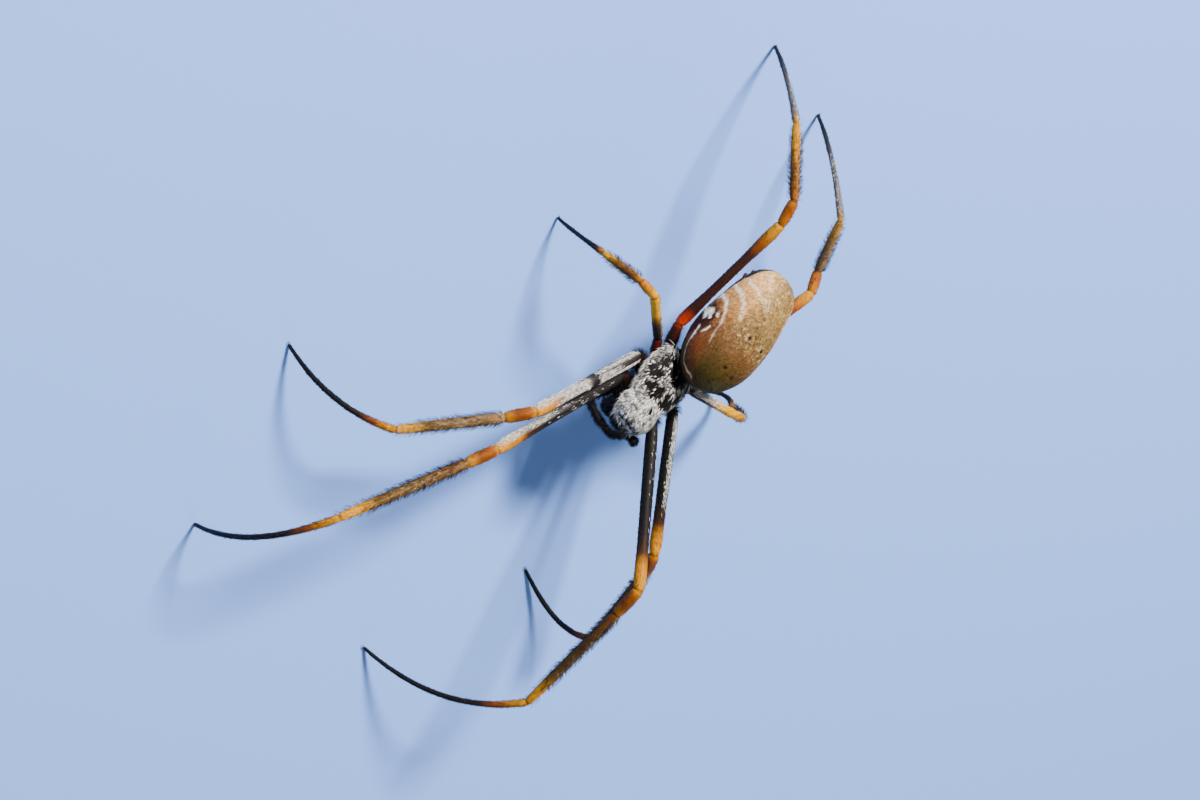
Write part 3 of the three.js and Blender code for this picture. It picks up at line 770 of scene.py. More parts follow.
def flank_marks(tone, local, place, flank, ragged, fine):
    """Adds the dark patch, its white strokes, the pale bars and the front line, all ragged with noise."""
    turn, at, half_around, half_along = DARK_PATCH
    away = np.hypot(
        (flank * ABDOMEN_GIRTH - turn * ABDOMEN_GIRTH) / half_around,
        (place * ABDOMEN_LENGTH - at * ABDOMEN_LENGTH) / half_along,
    )
    dark = fade(0.7, 1.15, away + 0.3 * ragged)
    tone = painted(tone, "#6a361a", 0.55 * fade(1.0, 1.7, away))
    tone = painted(tone, "#260c0a", 0.93 * dark)
    bent = flank + 0.05 * noise(local, 0.7, 24)
    swayed = place + 0.01 * noise(local, 0.7, 25)
    for start, end, width in WHITE_STROKES:
        away = line_distance(bent, swayed, (start, end))[0] / width
        tone = painted(tone, "#f4ece0", fade(0.6, 1.2, away + 0.5 * ragged + 0.2 * fine))
    for points, upper, lower, strength in BARS:
        away, share = line_distance(bent, swayed, points)
        away = away / (upper + (lower - upper) * share)
        bar = fade(0.4, 1.2, away + 0.25 * ragged) * (1 - 0.7 * soft_step(0.3, 1, share))
        tone = painted(tone, "#f0e2c8", strength * bar * (0.85 + 0.3 * fine))
    away = line_distance(flank, place, FRONT_LINE)[0] / FRONT_LINE_WIDTH
    return painted(tone, "#c9bc98", 0.8 * fade(0.4, 1.2, away + 0.2 * ragged)), dark


def abdomen_colours(local, place, angle):
    """Back, flank marks, black belly with pale spots, and pale and dark grains on the back; the pale
    grains, thicker towards the rear, are partly painted glints.
    """
    around = np.hypot(local[..., 0], local[..., 2]) * angle
    flank = np.abs(angle)
    fine = noise(local, 0.16, 22)
    ragged = noise(local, 0.3, 23)
    tone = back_colours(local, place, flank)
    tone, dark = flank_marks(tone, local, place, flank, ragged, fine)

    belly = soft_step(0, 0.12, flank - between(BELLY_EDGE, place) + 0.06 * ragged)
    tone = painted(tone, "#140c0a", belly)
    spots = soft_step(0.15, 0.45, noise(local, 0.55, 51)) * soft_step(2.2, 2.5, flank)
    tone = painted(tone, "#a08a52", 0.6 * (spots * soft_step(0.12, 0.2, place)))

    back = (1 - belly) * (1 - dark)
    middle = fade(0.35, 1.0, flank)
    # Pale grains, more towards the rear: partly painted glints of light on the hair
    dense = 0.4 + 0.9 * bump(place, 0.41, 0.06) * middle + 0.5 * soft_step(0.55, 0.9, place)
    grains_and_glints = soft_step(0.2, 0.6, fine) * np.clip(dense, 0, 1) * soft_step(0.15, 0.45, place)
    tone = painted(tone, "#d8c49a", 0.4 * grains_and_glints * back)
    pits = soft_step(0.1, 0.6, -fine) * back * soft_step(0.1, 0.4, place)
    tone = tone * (1 - 0.3 * pits[..., None])
    for mark, side, strength in SIGILLA:
        away = mark_distance(place, around, mark, side)
        tone = painted(tone, "#1c0904", strength * fade(0.13, 0.27, away))
    return np.clip(tone, 0, 1)


def add_spinnerets(skin, coat):
    """A mound under the abdomen's end and three pairs of cones on it, each with a few bristles."""
    under = ABDOMEN_GIRTH * smoothly(ABDOMEN_PROFILE, SPINNERET_PLACE)
    seat = np.array([0, SPINNERET_PLACE * ABDOMEN_LENGTH, SPINNERET_SUNK - under])
    mound = ball((0, 0, 0), (0.97, 0.92, 0.47))
    skin.add(from_abdomen(turned(mound, SPINNERET_TILT, seat)), colour("#2c1610"))
    bristles = 70
    for across, back, length, girth in SPINNERETS:
        for hand in HANDS.values():
            ends = [(hand * across, back, 0), (hand * across * 0.8, back * 0.7 + 0.35, -length)]
            cone, _ = limb(ends, 0.08, SPINNERET_PROFILE, ACROSS, 14, girth, depth=0.02, start=False)
            cone = from_abdomen(turned(cone, SPINNERET_TILT, seat))
            skin.add(cone, colour("#3a1c12"))
            roots = scatter(cone, bristles)
            lengths = rng.uniform(0.12, 0.25, bristles)
            coat.add(roots, roots["along"], lengths, 0.5, 0.01, colour("#1c1412"), 1)


def add_abdomen(skin, coats):
    """Abdomen and spinnerets, with short fine hair that glints as pale grains."""
    local, place, angle = abdomen_surface()
    tones = abdomen_colours(local, place, angle)
    grid = from_abdomen(local)
    skin.add(grid, tones, 1)
    coat = Coat(2)
    add_spinnerets(skin, coat)

    count = ABDOMEN_HAIRS
    weight = 1.2 - 0.8 * (np.abs(angle) > 2.2) + 0.4 * soft_step(0.3, 0.6, place)
    for mark, side, _ in SIGILLA:
        weight = weight * soft_step(0.3, 0.5, mark_distance(place, ABDOMEN_GIRTH * angle, mark, side))
    roots = scatter(grid, count, weight)
    pale = (rng.random(count) < 0.5)[:, None]
    tone = tones[roots["cell"]] * np.where(pale, 1.35, 0.7)
    side = np.cross(roots["normal"], roots["along"])
    way = (1.3 * noise(roots["point"], 0.8, 91))[:, None]
    lie = roots["along"] * np.cos(way) + side * np.sin(way)
    lengths, lifts = rng.uniform(0.15, 0.32, count), rng.uniform(0.1, 0.4, count)
    coat.add(roots, lie, lengths, lifts, 0.013, shaded(tone, count, 0.2), 0, 1.3)
    coats.append((coat.build("coat_abdomen", hair("fine_hair", 0.35)), "abdomen"))


# Front body

# Bare black patches in the silver hair, the same on both sides, the last two partly painted shadow of the
# abdomen over the shield's rear: x, y, half-sizes across and along, strength
BARE_AND_SHADOW_PATCHES = [
    (0.0, -2.5, 0.3, 0.6, 1.8), (1.82, -2.58, 0.2, 0.18, 1.4), (1.45, -2.65, 0.16, 0.16, 1.2),
    (1.19, -4.68, 0.45, 0.35, 1.5), (0.83, -4.57, 0.35, 0.32, 1.3), (0.1, -4.65, 0.5, 0.35, 1.4),
    (2.35, 0.15, 0.4, 0.35, 1.8), (1.9, -0.12, 0.5, 0.34, 1.8), (1.98, 1.25, 0.36, 0.38, 1.8),
    (1.65, 0.39, 0.26, 0.22, 1.3), (1.65, -1.15, 0.4, 0.26, 1.6), (1.1, -0.95, 0.55, 0.38, 1.8),
    (0.73, -1.42, 0.4, 0.42, 1.6), (0.4, -0.6, 0.5, 0.4, 0.9), (0.3, 1.2, 0.7, 0.6, 1.2),
    # Over the rear of the shield: partly painted shadow of the abdomen
    (0.5, 2.2, 1.1, 0.8, 1.6), (0.0, 3.2, 1.2, 0.5, 1.6),
]
BARE_AND_SHADOW_SHARE = 0.84
# Bristles: how many, length and thickness in mm, colour, and lift off the skin in degrees
FRONT_BRISTLES = {
    "chelicera": (1100, 0.45, 0.016, "#0c0807", 42),
    "palp": (1700, 0.45, 0.013, "#040303", 42),
    "maxilla": (220, 0.25, 0.012, "#191210", 40),
    "palp_base": (800, 0.75, 0.018, "#0a0606", 60),
    "sternum": (900, 0.22, 0.012, "#4a423c", 25),
    "carapace": (1300, 0.4, 0.012, "#0c0908", 30),
    # The flank bristles are partly a dark fill that stands in for the shade between the shield's edge and
    # the front legs
    "flank": (2600, 0.6, 0.013, "#0d0908", 60),
}
TUFTS, TUFT_HAIRS = 3500, 5
RIM_HAIRS = 1200


def carapace_hollow(x, y):
    """Depth of the pit in the middle, the two grooves between head and thorax, and three rays a side."""
    fovea = FOVEA_DEPTH * np.exp(-((x / FOVEA_ACROSS) ** 2) - ((y - FOVEA_Y) / FOVEA_ALONG) ** 2)
    away = np.abs(y - GROOVE_MEETING + np.abs(x) / math.tan(GROOVE_ANGLE)) * math.sin(GROOVE_ANGLE)
    groove = GROOVE_DEPTH * bump(away, 0, GROOVE_WIDTH) * np.minimum(1, np.abs(x) + 0.35)
    rays = 0
    for way in np.radians(RAY_TURNS):
        out = np.abs(x) * math.sin(way) - (y - FOVEA_Y) * math.cos(way)
        off = np.abs(np.abs(x) * math.cos(way) + (y - FOVEA_Y) * math.sin(way))
        rays = rays + RAY_DEPTH * bump(off, 0, RAY_WIDTH) * soft_step(0.3, 0.8, out) * fade(1.7, 2.3, out)
    return fovea + groove + rays


def carapace_surface():
    """The shield: half an oval above the rim and a thin edge below it, with both ends rounded over."""
    rows, columns, rounded_share, roundness = 120, 100, 0.03, 0.85
    place, angle = np.meshgrid(np.linspace(0, 1, rows), -ring_angles(columns), indexing="ij")
    width = smoothly(CARAPACE_WIDTH, place) - SKIN_DEPTH
    top = smoothly(CARAPACE_TOP, place) - SKIN_DEPTH
    rim = between(CARAPACE_RIM, place)
    closing = dome(1 - np.minimum(place / rounded_share, (1 - place) / rounded_share))
    y = CARAPACE_FRONT + place * CARAPACE_LENGTH
    x = width * np.cos(angle)
    lift = np.abs(np.sin(angle))
    high = (top - rim) * lift**roundness - carapace_hollow(x, y) * lift**roundness
    z = rim + np.where(np.sin(angle) > 0, high, -RIM_THICKNESS * lift**0.4)
    middle = rim + 0.4 * (top - rim)
    x = x * (0.6 + 0.4 * closing)
    z = middle + (z - middle) * closing
    return np.stack([x, y, z], axis=-1)


def on_shield(points):
    """From the shield's own frame to the front body's: turned a little about the head."""
    x, y, z = np.moveaxis(np.asarray(points, float) - (0, SHIELD_PIVOT[1], 0), -1, 0)
    turned_x = x * math.cos(SHIELD_YAW) - y * math.sin(SHIELD_YAW)
    turned_y = x * math.sin(SHIELD_YAW) + y * math.cos(SHIELD_YAW)
    return np.stack([turned_x, turned_y, z], axis=-1) + SHIELD_PIVOT


def silver_cover(points):
    """Share of the front body's skin hidden by silver hair, 0 on the bare black patches and on the painted
    shadow of the abdomen over the shield's rear.
    """
    x, y = np.abs(points[..., 0]), points[..., 1]
    bare_and_shadow = 0
    for at_x, at_y, across, along, strength in BARE_AND_SHADOW_PATCHES:
        patch = np.exp(-(((x - at_x) / across) ** 2) - ((y - at_y) / along) ** 2)
        bare_and_shadow = bare_and_shadow + BARE_AND_SHADOW_SHARE * strength * patch
    thorax = soft_step(-2.3, -1.6, y)
    margin = soft_step(0.86, 0.97, x / smoothly(CARAPACE_WIDTH, (y - CARAPACE_FRONT) / CARAPACE_LENGTH))
    ragged = 0.2 * noise(points, 0.4, 61) + (0.1 + 0.2 * thorax) * noise(points, 0.15, 62)
    return fade(0.35, 1.1, bare_and_shadow + ragged + 0.35 * thorax * (1 - margin))


def prosoma_roots(grid, count, weight=None, shield=False):
    """Hair roots on a grid given in the front body's own frame or the shield's, moved to the model's."""
    roots = scatter(grid, count, weight)
    roots["spot"] = roots["point"]

    def moved(points):
        """The points in the model's own frame."""
        return from_prosoma(on_shield(points) if shield else points)

    roots["point"] = moved(roots["point"])
    for key in ("normal", "along"):
        roots[key] = moved(roots[key]) - moved(np.zeros(3))
    return roots


def add_bristles(coat, strip, grid, kind, shield=False):
    """Dark bristles leaning along a grid of the front body."""
    count, length, thickness, code, lift = FRONT_BRISTLES[kind]
    roots = prosoma_roots(grid, count, shield=shield)
    lie = roots["along"] + rng.normal(0, 0.25, (count, 3))
    angles = np.radians(lift) * rng.uniform(0.6, 1.3, count)
    lengths = length * rng.uniform(0.5, 1.2, count)
    coat.add(roots, lie, lengths, angles, thickness, shaded(colour(code), count), strip)


def silver_coat(carapace, cover):
    """Silver hair in tufts that swirl with the noise, longest on the head, and a fringe on the rim."""
    silver = Coat(1)
    head = fade(-2.2, -1.4, carapace[..., 1])
    weight = (0.03 + cover) * (carapace[..., 2] > 0.85) * (1 + 0.9 * head)
    roots = prosoma_roots(carapace, TUFTS, weight, shield=True)
    spot = roots["spot"]
    way = 0.7 * noise(spot, 1.1, 71) + 0.5 * noise(spot, 0.35, 72) + 0.2 * spot[:, 0]
    flow = np.stack([np.sin(way), -np.cos(way), np.zeros(TUFTS)], axis=-1)
    ahead = fade(-2.4, -1.2, spot[:, 1])
    length = rng.uniform(0.3, 0.5, TUFTS) * (1 + 0.35 * ahead) * np.where(spot[:, 1] < -4.4, 0.5, 1)
    white = rng.random(TUFTS) < 0.5 + 0.4 * ahead
    bright = np.where(white, rng.uniform(0.75, 1.0, TUFTS), rng.uniform(0.04, 0.3, TUFTS))
    bright = bright * (0.3 + 0.7 * soft_step(-0.35, 0.0, noise(spot, 0.24, 73)))
    lift = rng.uniform(0.08, 0.35, TUFTS)
    for _ in range(TUFT_HAIRS):
        lean = flow + rng.normal(0, 0.07, (TUFTS, 3))
        pale = colour("#f8f4ee") * bright[:, None] * rng.uniform(0.85, 1.05, (TUFTS, 1))
        lengths = length * rng.uniform(0.8, 1.1, TUFTS)
        silver.add(shifted(roots, 0.016), lean, lengths, lift, 0.0105, np.clip(pale, 0, 0.95), 0, 1.5)

    low = bump(carapace[..., 2], between(CARAPACE_RIM, 0.5), 0.25)
    rim = prosoma_roots(carapace, RIM_HAIRS, low, shield=True)
    out = rim["normal"] * 0.25 + np.array([0, -1.0, 0]) + rng.normal(0, 0.2, (RIM_HAIRS, 3))
    pale = shaded(colour("#efebe4"), RIM_HAIRS, 0.25)
    lengths, lifts = rng.uniform(0.5, 1.1, RIM_HAIRS), rng.uniform(0.15, 0.5, RIM_HAIRS)
    silver.add(rim, out, lengths, lifts, 0.015, pale, 0)
    return silver.build("coat_silver", hair("silver_hair", 0.38))


def add_mouth_parts(skin, dark, strip, hand_name):
    """Chelicera, palp, maxilla and the palp's base of one side, with their bristles."""
    hand = HANDS[hand_name]
    line = mirrored(curve_through(CHELICERA_PATH), hand)
    chelicera, place = limb(
        line, 0.08, CHELICERA_PROFILE, ACROSS, 32, depth=SKIN_DEPTH, read=smoothly, start=False,
    )
    tone = painted(colour("#4a150d"), "#0b0707", soft_step(0.0, 0.35, place))
    skin.add(from_prosoma(chelicera), tone[:, None])
    add_bristles(dark, strip, chelicera, "chelicera")

    line = curve_through(PALP_PATHS[hand_name])
    palp, _ = limb(line, 0.08, PALP_PROFILE, UPWARDS, 18, depth=SKIN_DEPTH, joints=PALP_JOINTS)
    skin.add_front_part(palp, "#0d0908")
    add_bristles(dark, strip + 1, palp, "palp")

    maxilla = ball(mirrored(MAXILLA[0], hand), MAXILLA[1])
    skin.add_front_part(maxilla, "#241512")
    add_bristles(dark, strip + 2, maxilla, "maxilla")
    base = ball(mirrored(PALP_BASE[0], hand), PALP_BASE[1], 16, 20)
    skin.add_front_part(base, "#140908")
    add_bristles(dark, strip + 2, base, "palp_base")


def add_front(skin, coats):
    """Carapace, flanks, sternum, waist and mouth parts, with their hair."""
    carapace = carapace_surface()
    cover = silver_cover(carapace)
    skin.add(from_prosoma(on_shield(carapace)), blend_colour(colour("#0c0908"), colour("#1c1917"), cover))
    ys = np.linspace(*FLANK_REACH, 44)
    half = FLANK_SHARE * smoothly(CARAPACE_WIDTH, (ys - CARAPACE_FRONT) / CARAPACE_LENGTH)
    flank = box_ring(ys, half, *FLANK_HEIGHTS, 40)
    skin.add_front_part(flank, "#100a09")
    ys = np.linspace(*STERNUM_REACH, 34)
    half = between(STERNUM_WIDTH, (ys - ys[0]) / np.ptp(ys))
    sternum = box_ring(ys, half, *STERNUM_HEIGHTS, 40)
    skin.add_front_part(sternum, "#1d1512")
    waist, _ = limb(WAIST_PATH, 0.1, WAIST_PROFILE, ACROSS, 24, start=False, end=False)
    skin.add_front_part(waist, "#3a120c")
    coats.append((silver_coat(carapace, cover), "carapace"))

    dark = Coat(9)
    for number, hand_name in enumerate(HANDS):
        add_mouth_parts(skin, dark, 3 * number, hand_name)
    add_bristles(dark, 6, sternum, "sternum")
    add_bristles(dark, 7, carapace, "carapace", shield=True)
    add_bristles(dark, 8, flank, "flank")
    coats.append((dark.build("coat_dark", hair("dark_hair", 0.5)), "dark_horn"))


# Legs

# Colours along each segment of the two front pairs, the rear pair and the short third pair
FRONT_LEG = {
    "coxa": [(0, "#0c0605"), (0.5, "#170806"), (0.8, "#240c08"), (1, "#180a08")],
    "femur": [
        (0, "#1c1513"), (0.05, "#0e0b0b"), (0.65, "#130e0c"),
        (0.78, "#331b09"), (0.86, "#985e00"), (1, "#b47800"),
    ],
    "patella": [(0, "#a86800"), (0.2, "#783c00"), (0.6, "#602e00"), (0.85, "#844c00"), (1, "#9c6800")],
    "tibia": [
        (0, "#5a320a"), (0.4, "#4c3412"), (0.7, "#604210"),
        (0.8, "#966602"), (0.88, "#b07600"), (1, "#b07400"),
    ],
    "foot": [
        (0, "#b07600"), (0.08, "#966202"), (0.16, "#6c340a"),
        (0.27, "#1e100b"), (0.4, "#0d0a09"), (1, "#0b0908"),
    ],
}
REAR_LEG = {
    "coxa": [(0, "#0c0605"), (0.5, "#1c0604"), (0.8, "#300a04"), (1, "#5c1604")],
    "femur": [
        (0, "#c43c02"), (0.07, "#8c2402"), (0.15, "#2a1009"), (0.7, "#33180c"),
        (0.82, "#783c08"), (0.92, "#a06600"), (1, "#b07600"),
    ],
    "patella": [(0, "#985c02"), (0.5, "#7c3e04"), (1, "#844a06")],
    "tibia": [(0, "#7c4408"), (0.4, "#643e0a"), (0.62, "#905c04"), (0.74, "#b07600"), (1, "#a87200")],
    "foot": [
        (0, "#a87408"), (0.05, "#7c6040"), (0.12, "#5c5650"),
        (0.5, "#3c3835"), (0.75, "#161210"), (1, "#0b0908"),
    ],
}
SHORT_LEG = {
    "coxa": [(0, "#0c0605"), (0.5, "#280905"), (0.8, "#420d06"), (1, "#300c06")],
    "femur": [
        (0, "#140f0e"), (0.1, "#2c211a"), (0.35, "#241812"),
        (0.5, "#7c4a06"), (0.6, "#bf8800"), (1, "#bf8800"),
    ],
    "patella": [(0, "#bf8800"), (0.5, "#a0680a"), (1, "#9a5e0a")],
    "tibia": [(0, "#93560c"), (0.35, "#5a350e"), (0.6, "#7c4c0c"), (0.75, "#bf8800"), (1, "#bf8800")],
    "foot": [(0, "#a66a08"), (0.08, "#4a240b"), (0.16, "#110d0c"), (1, "#0b0908")],
}
LEG_COLOURS = {1: FRONT_LEG, 2: FRONT_LEG, 3: SHORT_LEG, 4: REAR_LEG}
# The leg that the photograph shows best has a femur of its own, silver but for a dark ring
BEST_LEG = (2, "right")
SILVER_FEMUR = [
    (0, "#1c1513"), (0.4, "#282220"), (0.43, "#17141a"), (0.48, "#17141a"),
    (0.52, "#5c4434"), (0.78, "#6a4022"), (0.86, "#a06200"), (1, "#b47800"),
]
SILVER_FEMUR_COVER = [(0, 1), (0.37, 1), (0.41, 0), (0.48, 0), (0.52, 0.9), (0.7, 0.8), (0.85, 0)]
# How much silver hair lies on each femur and each tibia; on the tibiae it also paints a pale tint, partly
# painted light on the lit side
FEMUR_SILVER = {
    (1, "right"): 0.1, (1, "left"): 0.04, BEST_LEG: 1, (2, "left"): 0.6,
    (3, "right"): 0.3, (3, "left"): 0.8, (4, "right"): 0.1, (4, "left"): 0.2,
}
TIBIA_PALE_AND_PAINTED_LIGHT = {BEST_LEG: 0.15, (3, "right"): 0.15, (4, "left"): 0.45}
LEAST_TIBIA_PALE_AND_PAINTED_LIGHT = 0.08
# The side of the legs that it lies on: the side shown lit, so that the silver is partly painted light and
# the shaded side stays dark
LIT_SILVER_SIDE = [0.1, 0.75, 0.65]
OWN_LIT_SILVER_SIDES = {(4, "left"): [-0.5, 0.1, 0.85], BEST_LEG: [-0.1, 0.5, 0.86]}
# Bristles on each segment: how many to a mm of leg, length in mm, lift in degrees and colour
LEG_BRISTLES = {
    # The front coxae's long dense bristles are partly a dark fill that stands in for the shade between the
    # front legs and the shield
    "coxa": (360, 0.8, 60, "#0c0706"),
    "femur": (75, 0.24, 24, "#1a1413"),
    "patella": (55, 0.3, 35, "#2a1a12"),
    "tibia": (130, 0.62, 54, "#1a120e"),
    "foot": (75, 0.38, 34, "#15100e"),
}
# Fewer and shorter ones on the coxae of the rear legs
REAR_COXA_BRISTLES = (40, 0.25)
# How many pale hairs to a square millimetre
PALE_HAIRS = 145


def heading(hand, turn, rise):
    """Direction turned from straight ahead to the outside and then raised, in degrees."""
    yaw, lift = math.radians(turn), math.radians(rise)
    level = math.cos(lift)
    return np.array([hand * math.sin(yaw) * level, -math.cos(yaw) * level, math.sin(lift)])


def leg_line(pair, hand_name):
    """Centre line of a leg, arc length along it and where each segment starts and ends.

    Its segments are straight from joint to joint, and the foot is a quadratic curve down to its tip.
    """
    hand = HANDS[hand_name]
    sizes, pose = LEG_PAIRS[pair], LEG_POSES[pair, hand_name]
    hip_x, hip_y, hip_z = sizes["hip"]
    joints = [
        from_prosoma((hand * sizes["root"][0], sizes["root"][1], hip_z - COXA_DROP)),
        from_prosoma((hand * hip_x, hip_y, hip_z)),
    ]
    for kind in ("femur", "patella", "tibia"):
        joints.append(joints[-1] + sizes[kind] * heading(hand, *pose[kind]))
    bend = joints[-1] + heading(hand, *pose["ankle"]) * sizes["foot"] / 2
    tip = np.array([hand * pose["tip"][0], pose["tip"][1], 0.0])
    t = np.linspace(0, 1, 80)[:, None]
    foot = (1 - t) ** 2 * joints[-1] + 2 * t * (1 - t) * bend + t**2 * tip
    line, arc, marks = evenly(np.vstack([joints[:-1], foot]), LEG_STEP, crowded=(1, 2, 3, 4))
    return softened(line, 2), arc, np.concatenate([marks[:5], marks[-1:]])


def leg_surface(pair, hand_name):
    """One leg as a single tube, pinched at each joint; its half-thickness is a mean over five rings."""
    line, arc, ends = leg_line(pair, hand_name)
    index = np.clip(np.searchsorted(ends, arc, side="right") - 1, 0, 4)
    place = (arc - ends[index]) / (ends[index + 1] - ends[index])
    radii = np.empty(len(arc))
    for number, kind in enumerate(SEGMENTS):
        profile = "rear_femur" if kind == "femur" and pair == 4 else kind
        here = index == number
        radii[here] = between(LEG_PROFILES[profile], place[here])
    radii = np.convolve(np.pad(radii, 2, mode="edge"), np.full(5, 0.2), mode="valid")
    radii = radii * LEG_PAIRS[pair]["girth"] - SKIN_DEPTH
    for joint in ends[1:5]:
        radii = radii * (1 - JOINT_PINCH * bump(arc, joint, JOINT_WIDTH))
    side = heading(HANDS[hand_name], 90 + LEG_POSES[pair, hand_name]["femur"][0], 0)
    grid = tube(line, rounded(radii, arc, start=False), side, LEG_COLUMNS)
    normal = unit(grid - line[:, None])
    grid[..., 2] = np.maximum(grid[..., 2], 0)
    return grid, normal, index, place, arc


def leg_silver(leg, normal, index, place, arc):
    """Share of silver hair over femur and tibia, laid on the side shown lit as partly painted light, and
    how far each point lies on that side.
    """
    pair, hand_name = leg
    on_femur, on_tibia = (index == 1)[:, None], (index == 3)[:, None]
    around = ring_angles(LEG_COLUMNS)
    spots = np.stack(np.broadcast_arrays(np.cos(around), np.sin(around), 0.12 * arc[:, None]), axis=-1)
    streaks = noise(spots, 0.35, 83 + pair)
    # How far each point faces the lit side, where the silver is partly painted light
    top = normal @ unit(OWN_LIT_SILVER_SIDES.get(leg, LIT_SILVER_SIDE))
    length = fade(0.5, 0.75, place)
    if leg == BEST_LEG:
        length = between(SILVER_FEMUR_COVER, place)
        top = 0.6 + top - 0.75 * (soft_step(0.46, 0.54, place) * (index == 1))[:, None]
    femur = soft_step(0.5, 1.0, top + 0.3 * streaks) * length[:, None] * FEMUR_SILVER[leg]
    femur = femur * soft_step(-0.45, 0.35, streaks)
    # Two pale stretches along the outer edge of the right front femora: pale hair, partly a painted
    # highlight
    if pair < 3 and hand_name == "right":
        edge = soft_step(0.55, 0.85, normal @ unit([-0.85, 0.35, 0.25]))
        femur = femur + (0.9 * bump(place, 0.9, 0.07) + 0.8 * bump(place, 0.68, 0.14))[:, None] * edge
    tibia = TIBIA_PALE_AND_PAINTED_LIGHT.get(leg, LEAST_TIBIA_PALE_AND_PAINTED_LIGHT) * soft_step(0.0, 0.8, top) * on_tibia
    return femur * on_femur, tibia, top


def leg_tones(leg, normal, index, place, arc):
    """Colour of a leg's skin, darker at its joints and paler on its lit side as partly painted light, and
    how much silver hair covers it.
    """
    tones = np.empty((len(index), 3))
    for number, kind in enumerate(SEGMENTS):
        here = index == number
        table = SILVER_FEMUR if leg == BEST_LEG and kind == "femur" else LEG_COLOURS[leg[0]][kind]
        tones[here] = stops(table, place[here])
    joints = np.flatnonzero(np.diff(index))
    tones[joints] *= 0.4
    tones[joints + 1] *= 0.7
    tones = np.repeat(tones[:, None], LEG_COLUMNS, axis=1)
    femur, tibia, top = leg_silver(leg, normal, index, place, arc)
    # Grey under the femora's silver and a pale tint on the tibiae, both on the lit side: partly painted
    # light
    tones = painted(tones, "#8c8780", 0.6 * femur)
    tones = painted(tones, "#b4905e", 2 * tibia * fade(0.5, 0.75, place)[:, None])
    cover = femur + tibia
    # Pale hair on the lit side of the rear feet: partly painted light
    if leg[0] == 4:
        upper_foot = ((index == 4) & (place < 0.5))[:, None]
        cover = cover + 0.5 * soft_step(0.0, 0.8, top) * upper_foot
    return tones, cover


def add_leg_hair(coat, strip, pair, grid, index, place, arc, cover):
    """Dark bristles leaning to the tip, few on the tibia's yellow end, and silver hair where it covers."""
    for number, kind in enumerate(SEGMENTS):
        density, length, lift, code = LEG_BRISTLES[kind]
        here = np.repeat((index == number)[:, None], LEG_COLUMNS, axis=1).astype(float)
        if kind == "tibia":
            here = here * (1 - 0.7 * soft_step(0.74, 0.84, place))[:, None]
        if kind == "coxa" and pair > 2:
            density, length = REAR_COXA_BRISTLES
        count = int(density * np.ptp(arc[index == number]))
        roots = scatter(grid, count, here)
        lie = roots["along"] + rng.normal(0, 0.14, (count, 3))
        lengths = length * rng.uniform(0.55, 1.15, count)
        if kind == "foot":
            lengths = lengths * (1.5 - roots["uv"][:, 1])
        angles = np.radians(lift) * rng.uniform(0.6, 1.3, count)
        coat.add(roots, lie, lengths, angles, 0.014, shaded(colour(code), count), strip)
    areas = np.linalg.norm(cell_normals(grid), axis=-1) / 2
    count = int(PALE_HAIRS * (areas * cover[:-1]).sum())
    roots = scatter(grid, count, cover)
    lie = roots["along"] + rng.normal(0, 0.1, (count, 3))
    pale = colour("#f4f0ea") * rng.uniform(0.45, 1.0, (count, 1))
    fine = np.where(index[roots["cell"][0]] == 1, 1, 0.45)
    lengths = rng.uniform(0.25, 0.5, count) * fine
    lifts = rng.uniform(0.06, 0.3, count)
    coat.add(roots, lie, lengths, lifts, 0.007 + 0.006 * fine, pale, strip, 1.4)


def add_legs(skin, coats):
    """The eight legs, with one coat for each two on a side."""
    for hand_name in HANDS:
        for name, pairs in (("front", (1, 2)), ("rear", (3, 4))):
            coat = Coat(2)
            for strip, pair in enumerate(pairs):
                grid, normal, index, place, arc = leg_surface(pair, hand_name)
                tones, cover = leg_tones((pair, hand_name), normal, index, place, arc)
                skin.add(grid, tones)
                add_leg_hair(coat, strip, pair, grid, index, place, arc, cover)
            title = f"{name}_legs_{hand_name}"
            coats.append((coat.build(f"coat_{title}", hair(f"hair_{title}", 0.42)), "foot"))


# Eyes, fangs and claws, each a piece of its own

def add_eyes():
    """Eight small balls, seated on the turned shield."""
    eyes = Skin()
    for hand, place in itertools.product(HANDS.values(), EYE_PLACES):
        place = mirrored(place, hand)
        eye = ball(place, (EYE_RADIUS,) * 3, 20, 24)
        eyes.add_front_part(eye - place + on_shield(place), "#0c0a0a")
    made = eyes.build("eyes", [gloss("eye_horn", "#0b0909", 0.08, 1.0)])
    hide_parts(*[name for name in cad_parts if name.startswith("eye")])
    return made


def add_fangs():
    """Two curved tapering tubes."""
    fangs = Skin()
    for hand in HANDS.values():
        fang, _ = limb(mirrored(curve_through(FANG_PATH), hand), 0.03, FANG_PROFILE, ACROSS, 16)
        fangs.add_front_part(fang, "#3a0f08")
    made = fangs.build("fangs", [gloss("fang_horn", "#3a1009", 0.22, 0.6)])
    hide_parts(*[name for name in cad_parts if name.startswith("fang")])
    return made


def add_claws():
    """A pair of small curved hooks at the tip of each leg."""
    claws = Skin()
    for pair, hand_name in LEG_POSES:
        line = leg_line(pair, hand_name)[0]
        tip = line[-1]
        ahead = unit((tip - line[-7]) * np.array([1, 1, 0]))
        aside = np.cross(UPWARDS, ahead)
        for way in (-1, 1):
            points = [tip + ahead * out + (0, 0, up) + aside * way * off for out, off, up in CLAW_PATH]
            hook, _ = limb(curve_through(points), 0.02, CLAW_PROFILE, UPWARDS, 10)
            claws.add(hook, colour("#120c0a"))
    return claws.build("claws", [gloss("claw_horn", "#140d0b", 0.35, 0.3)])


# Floor, camera and lights

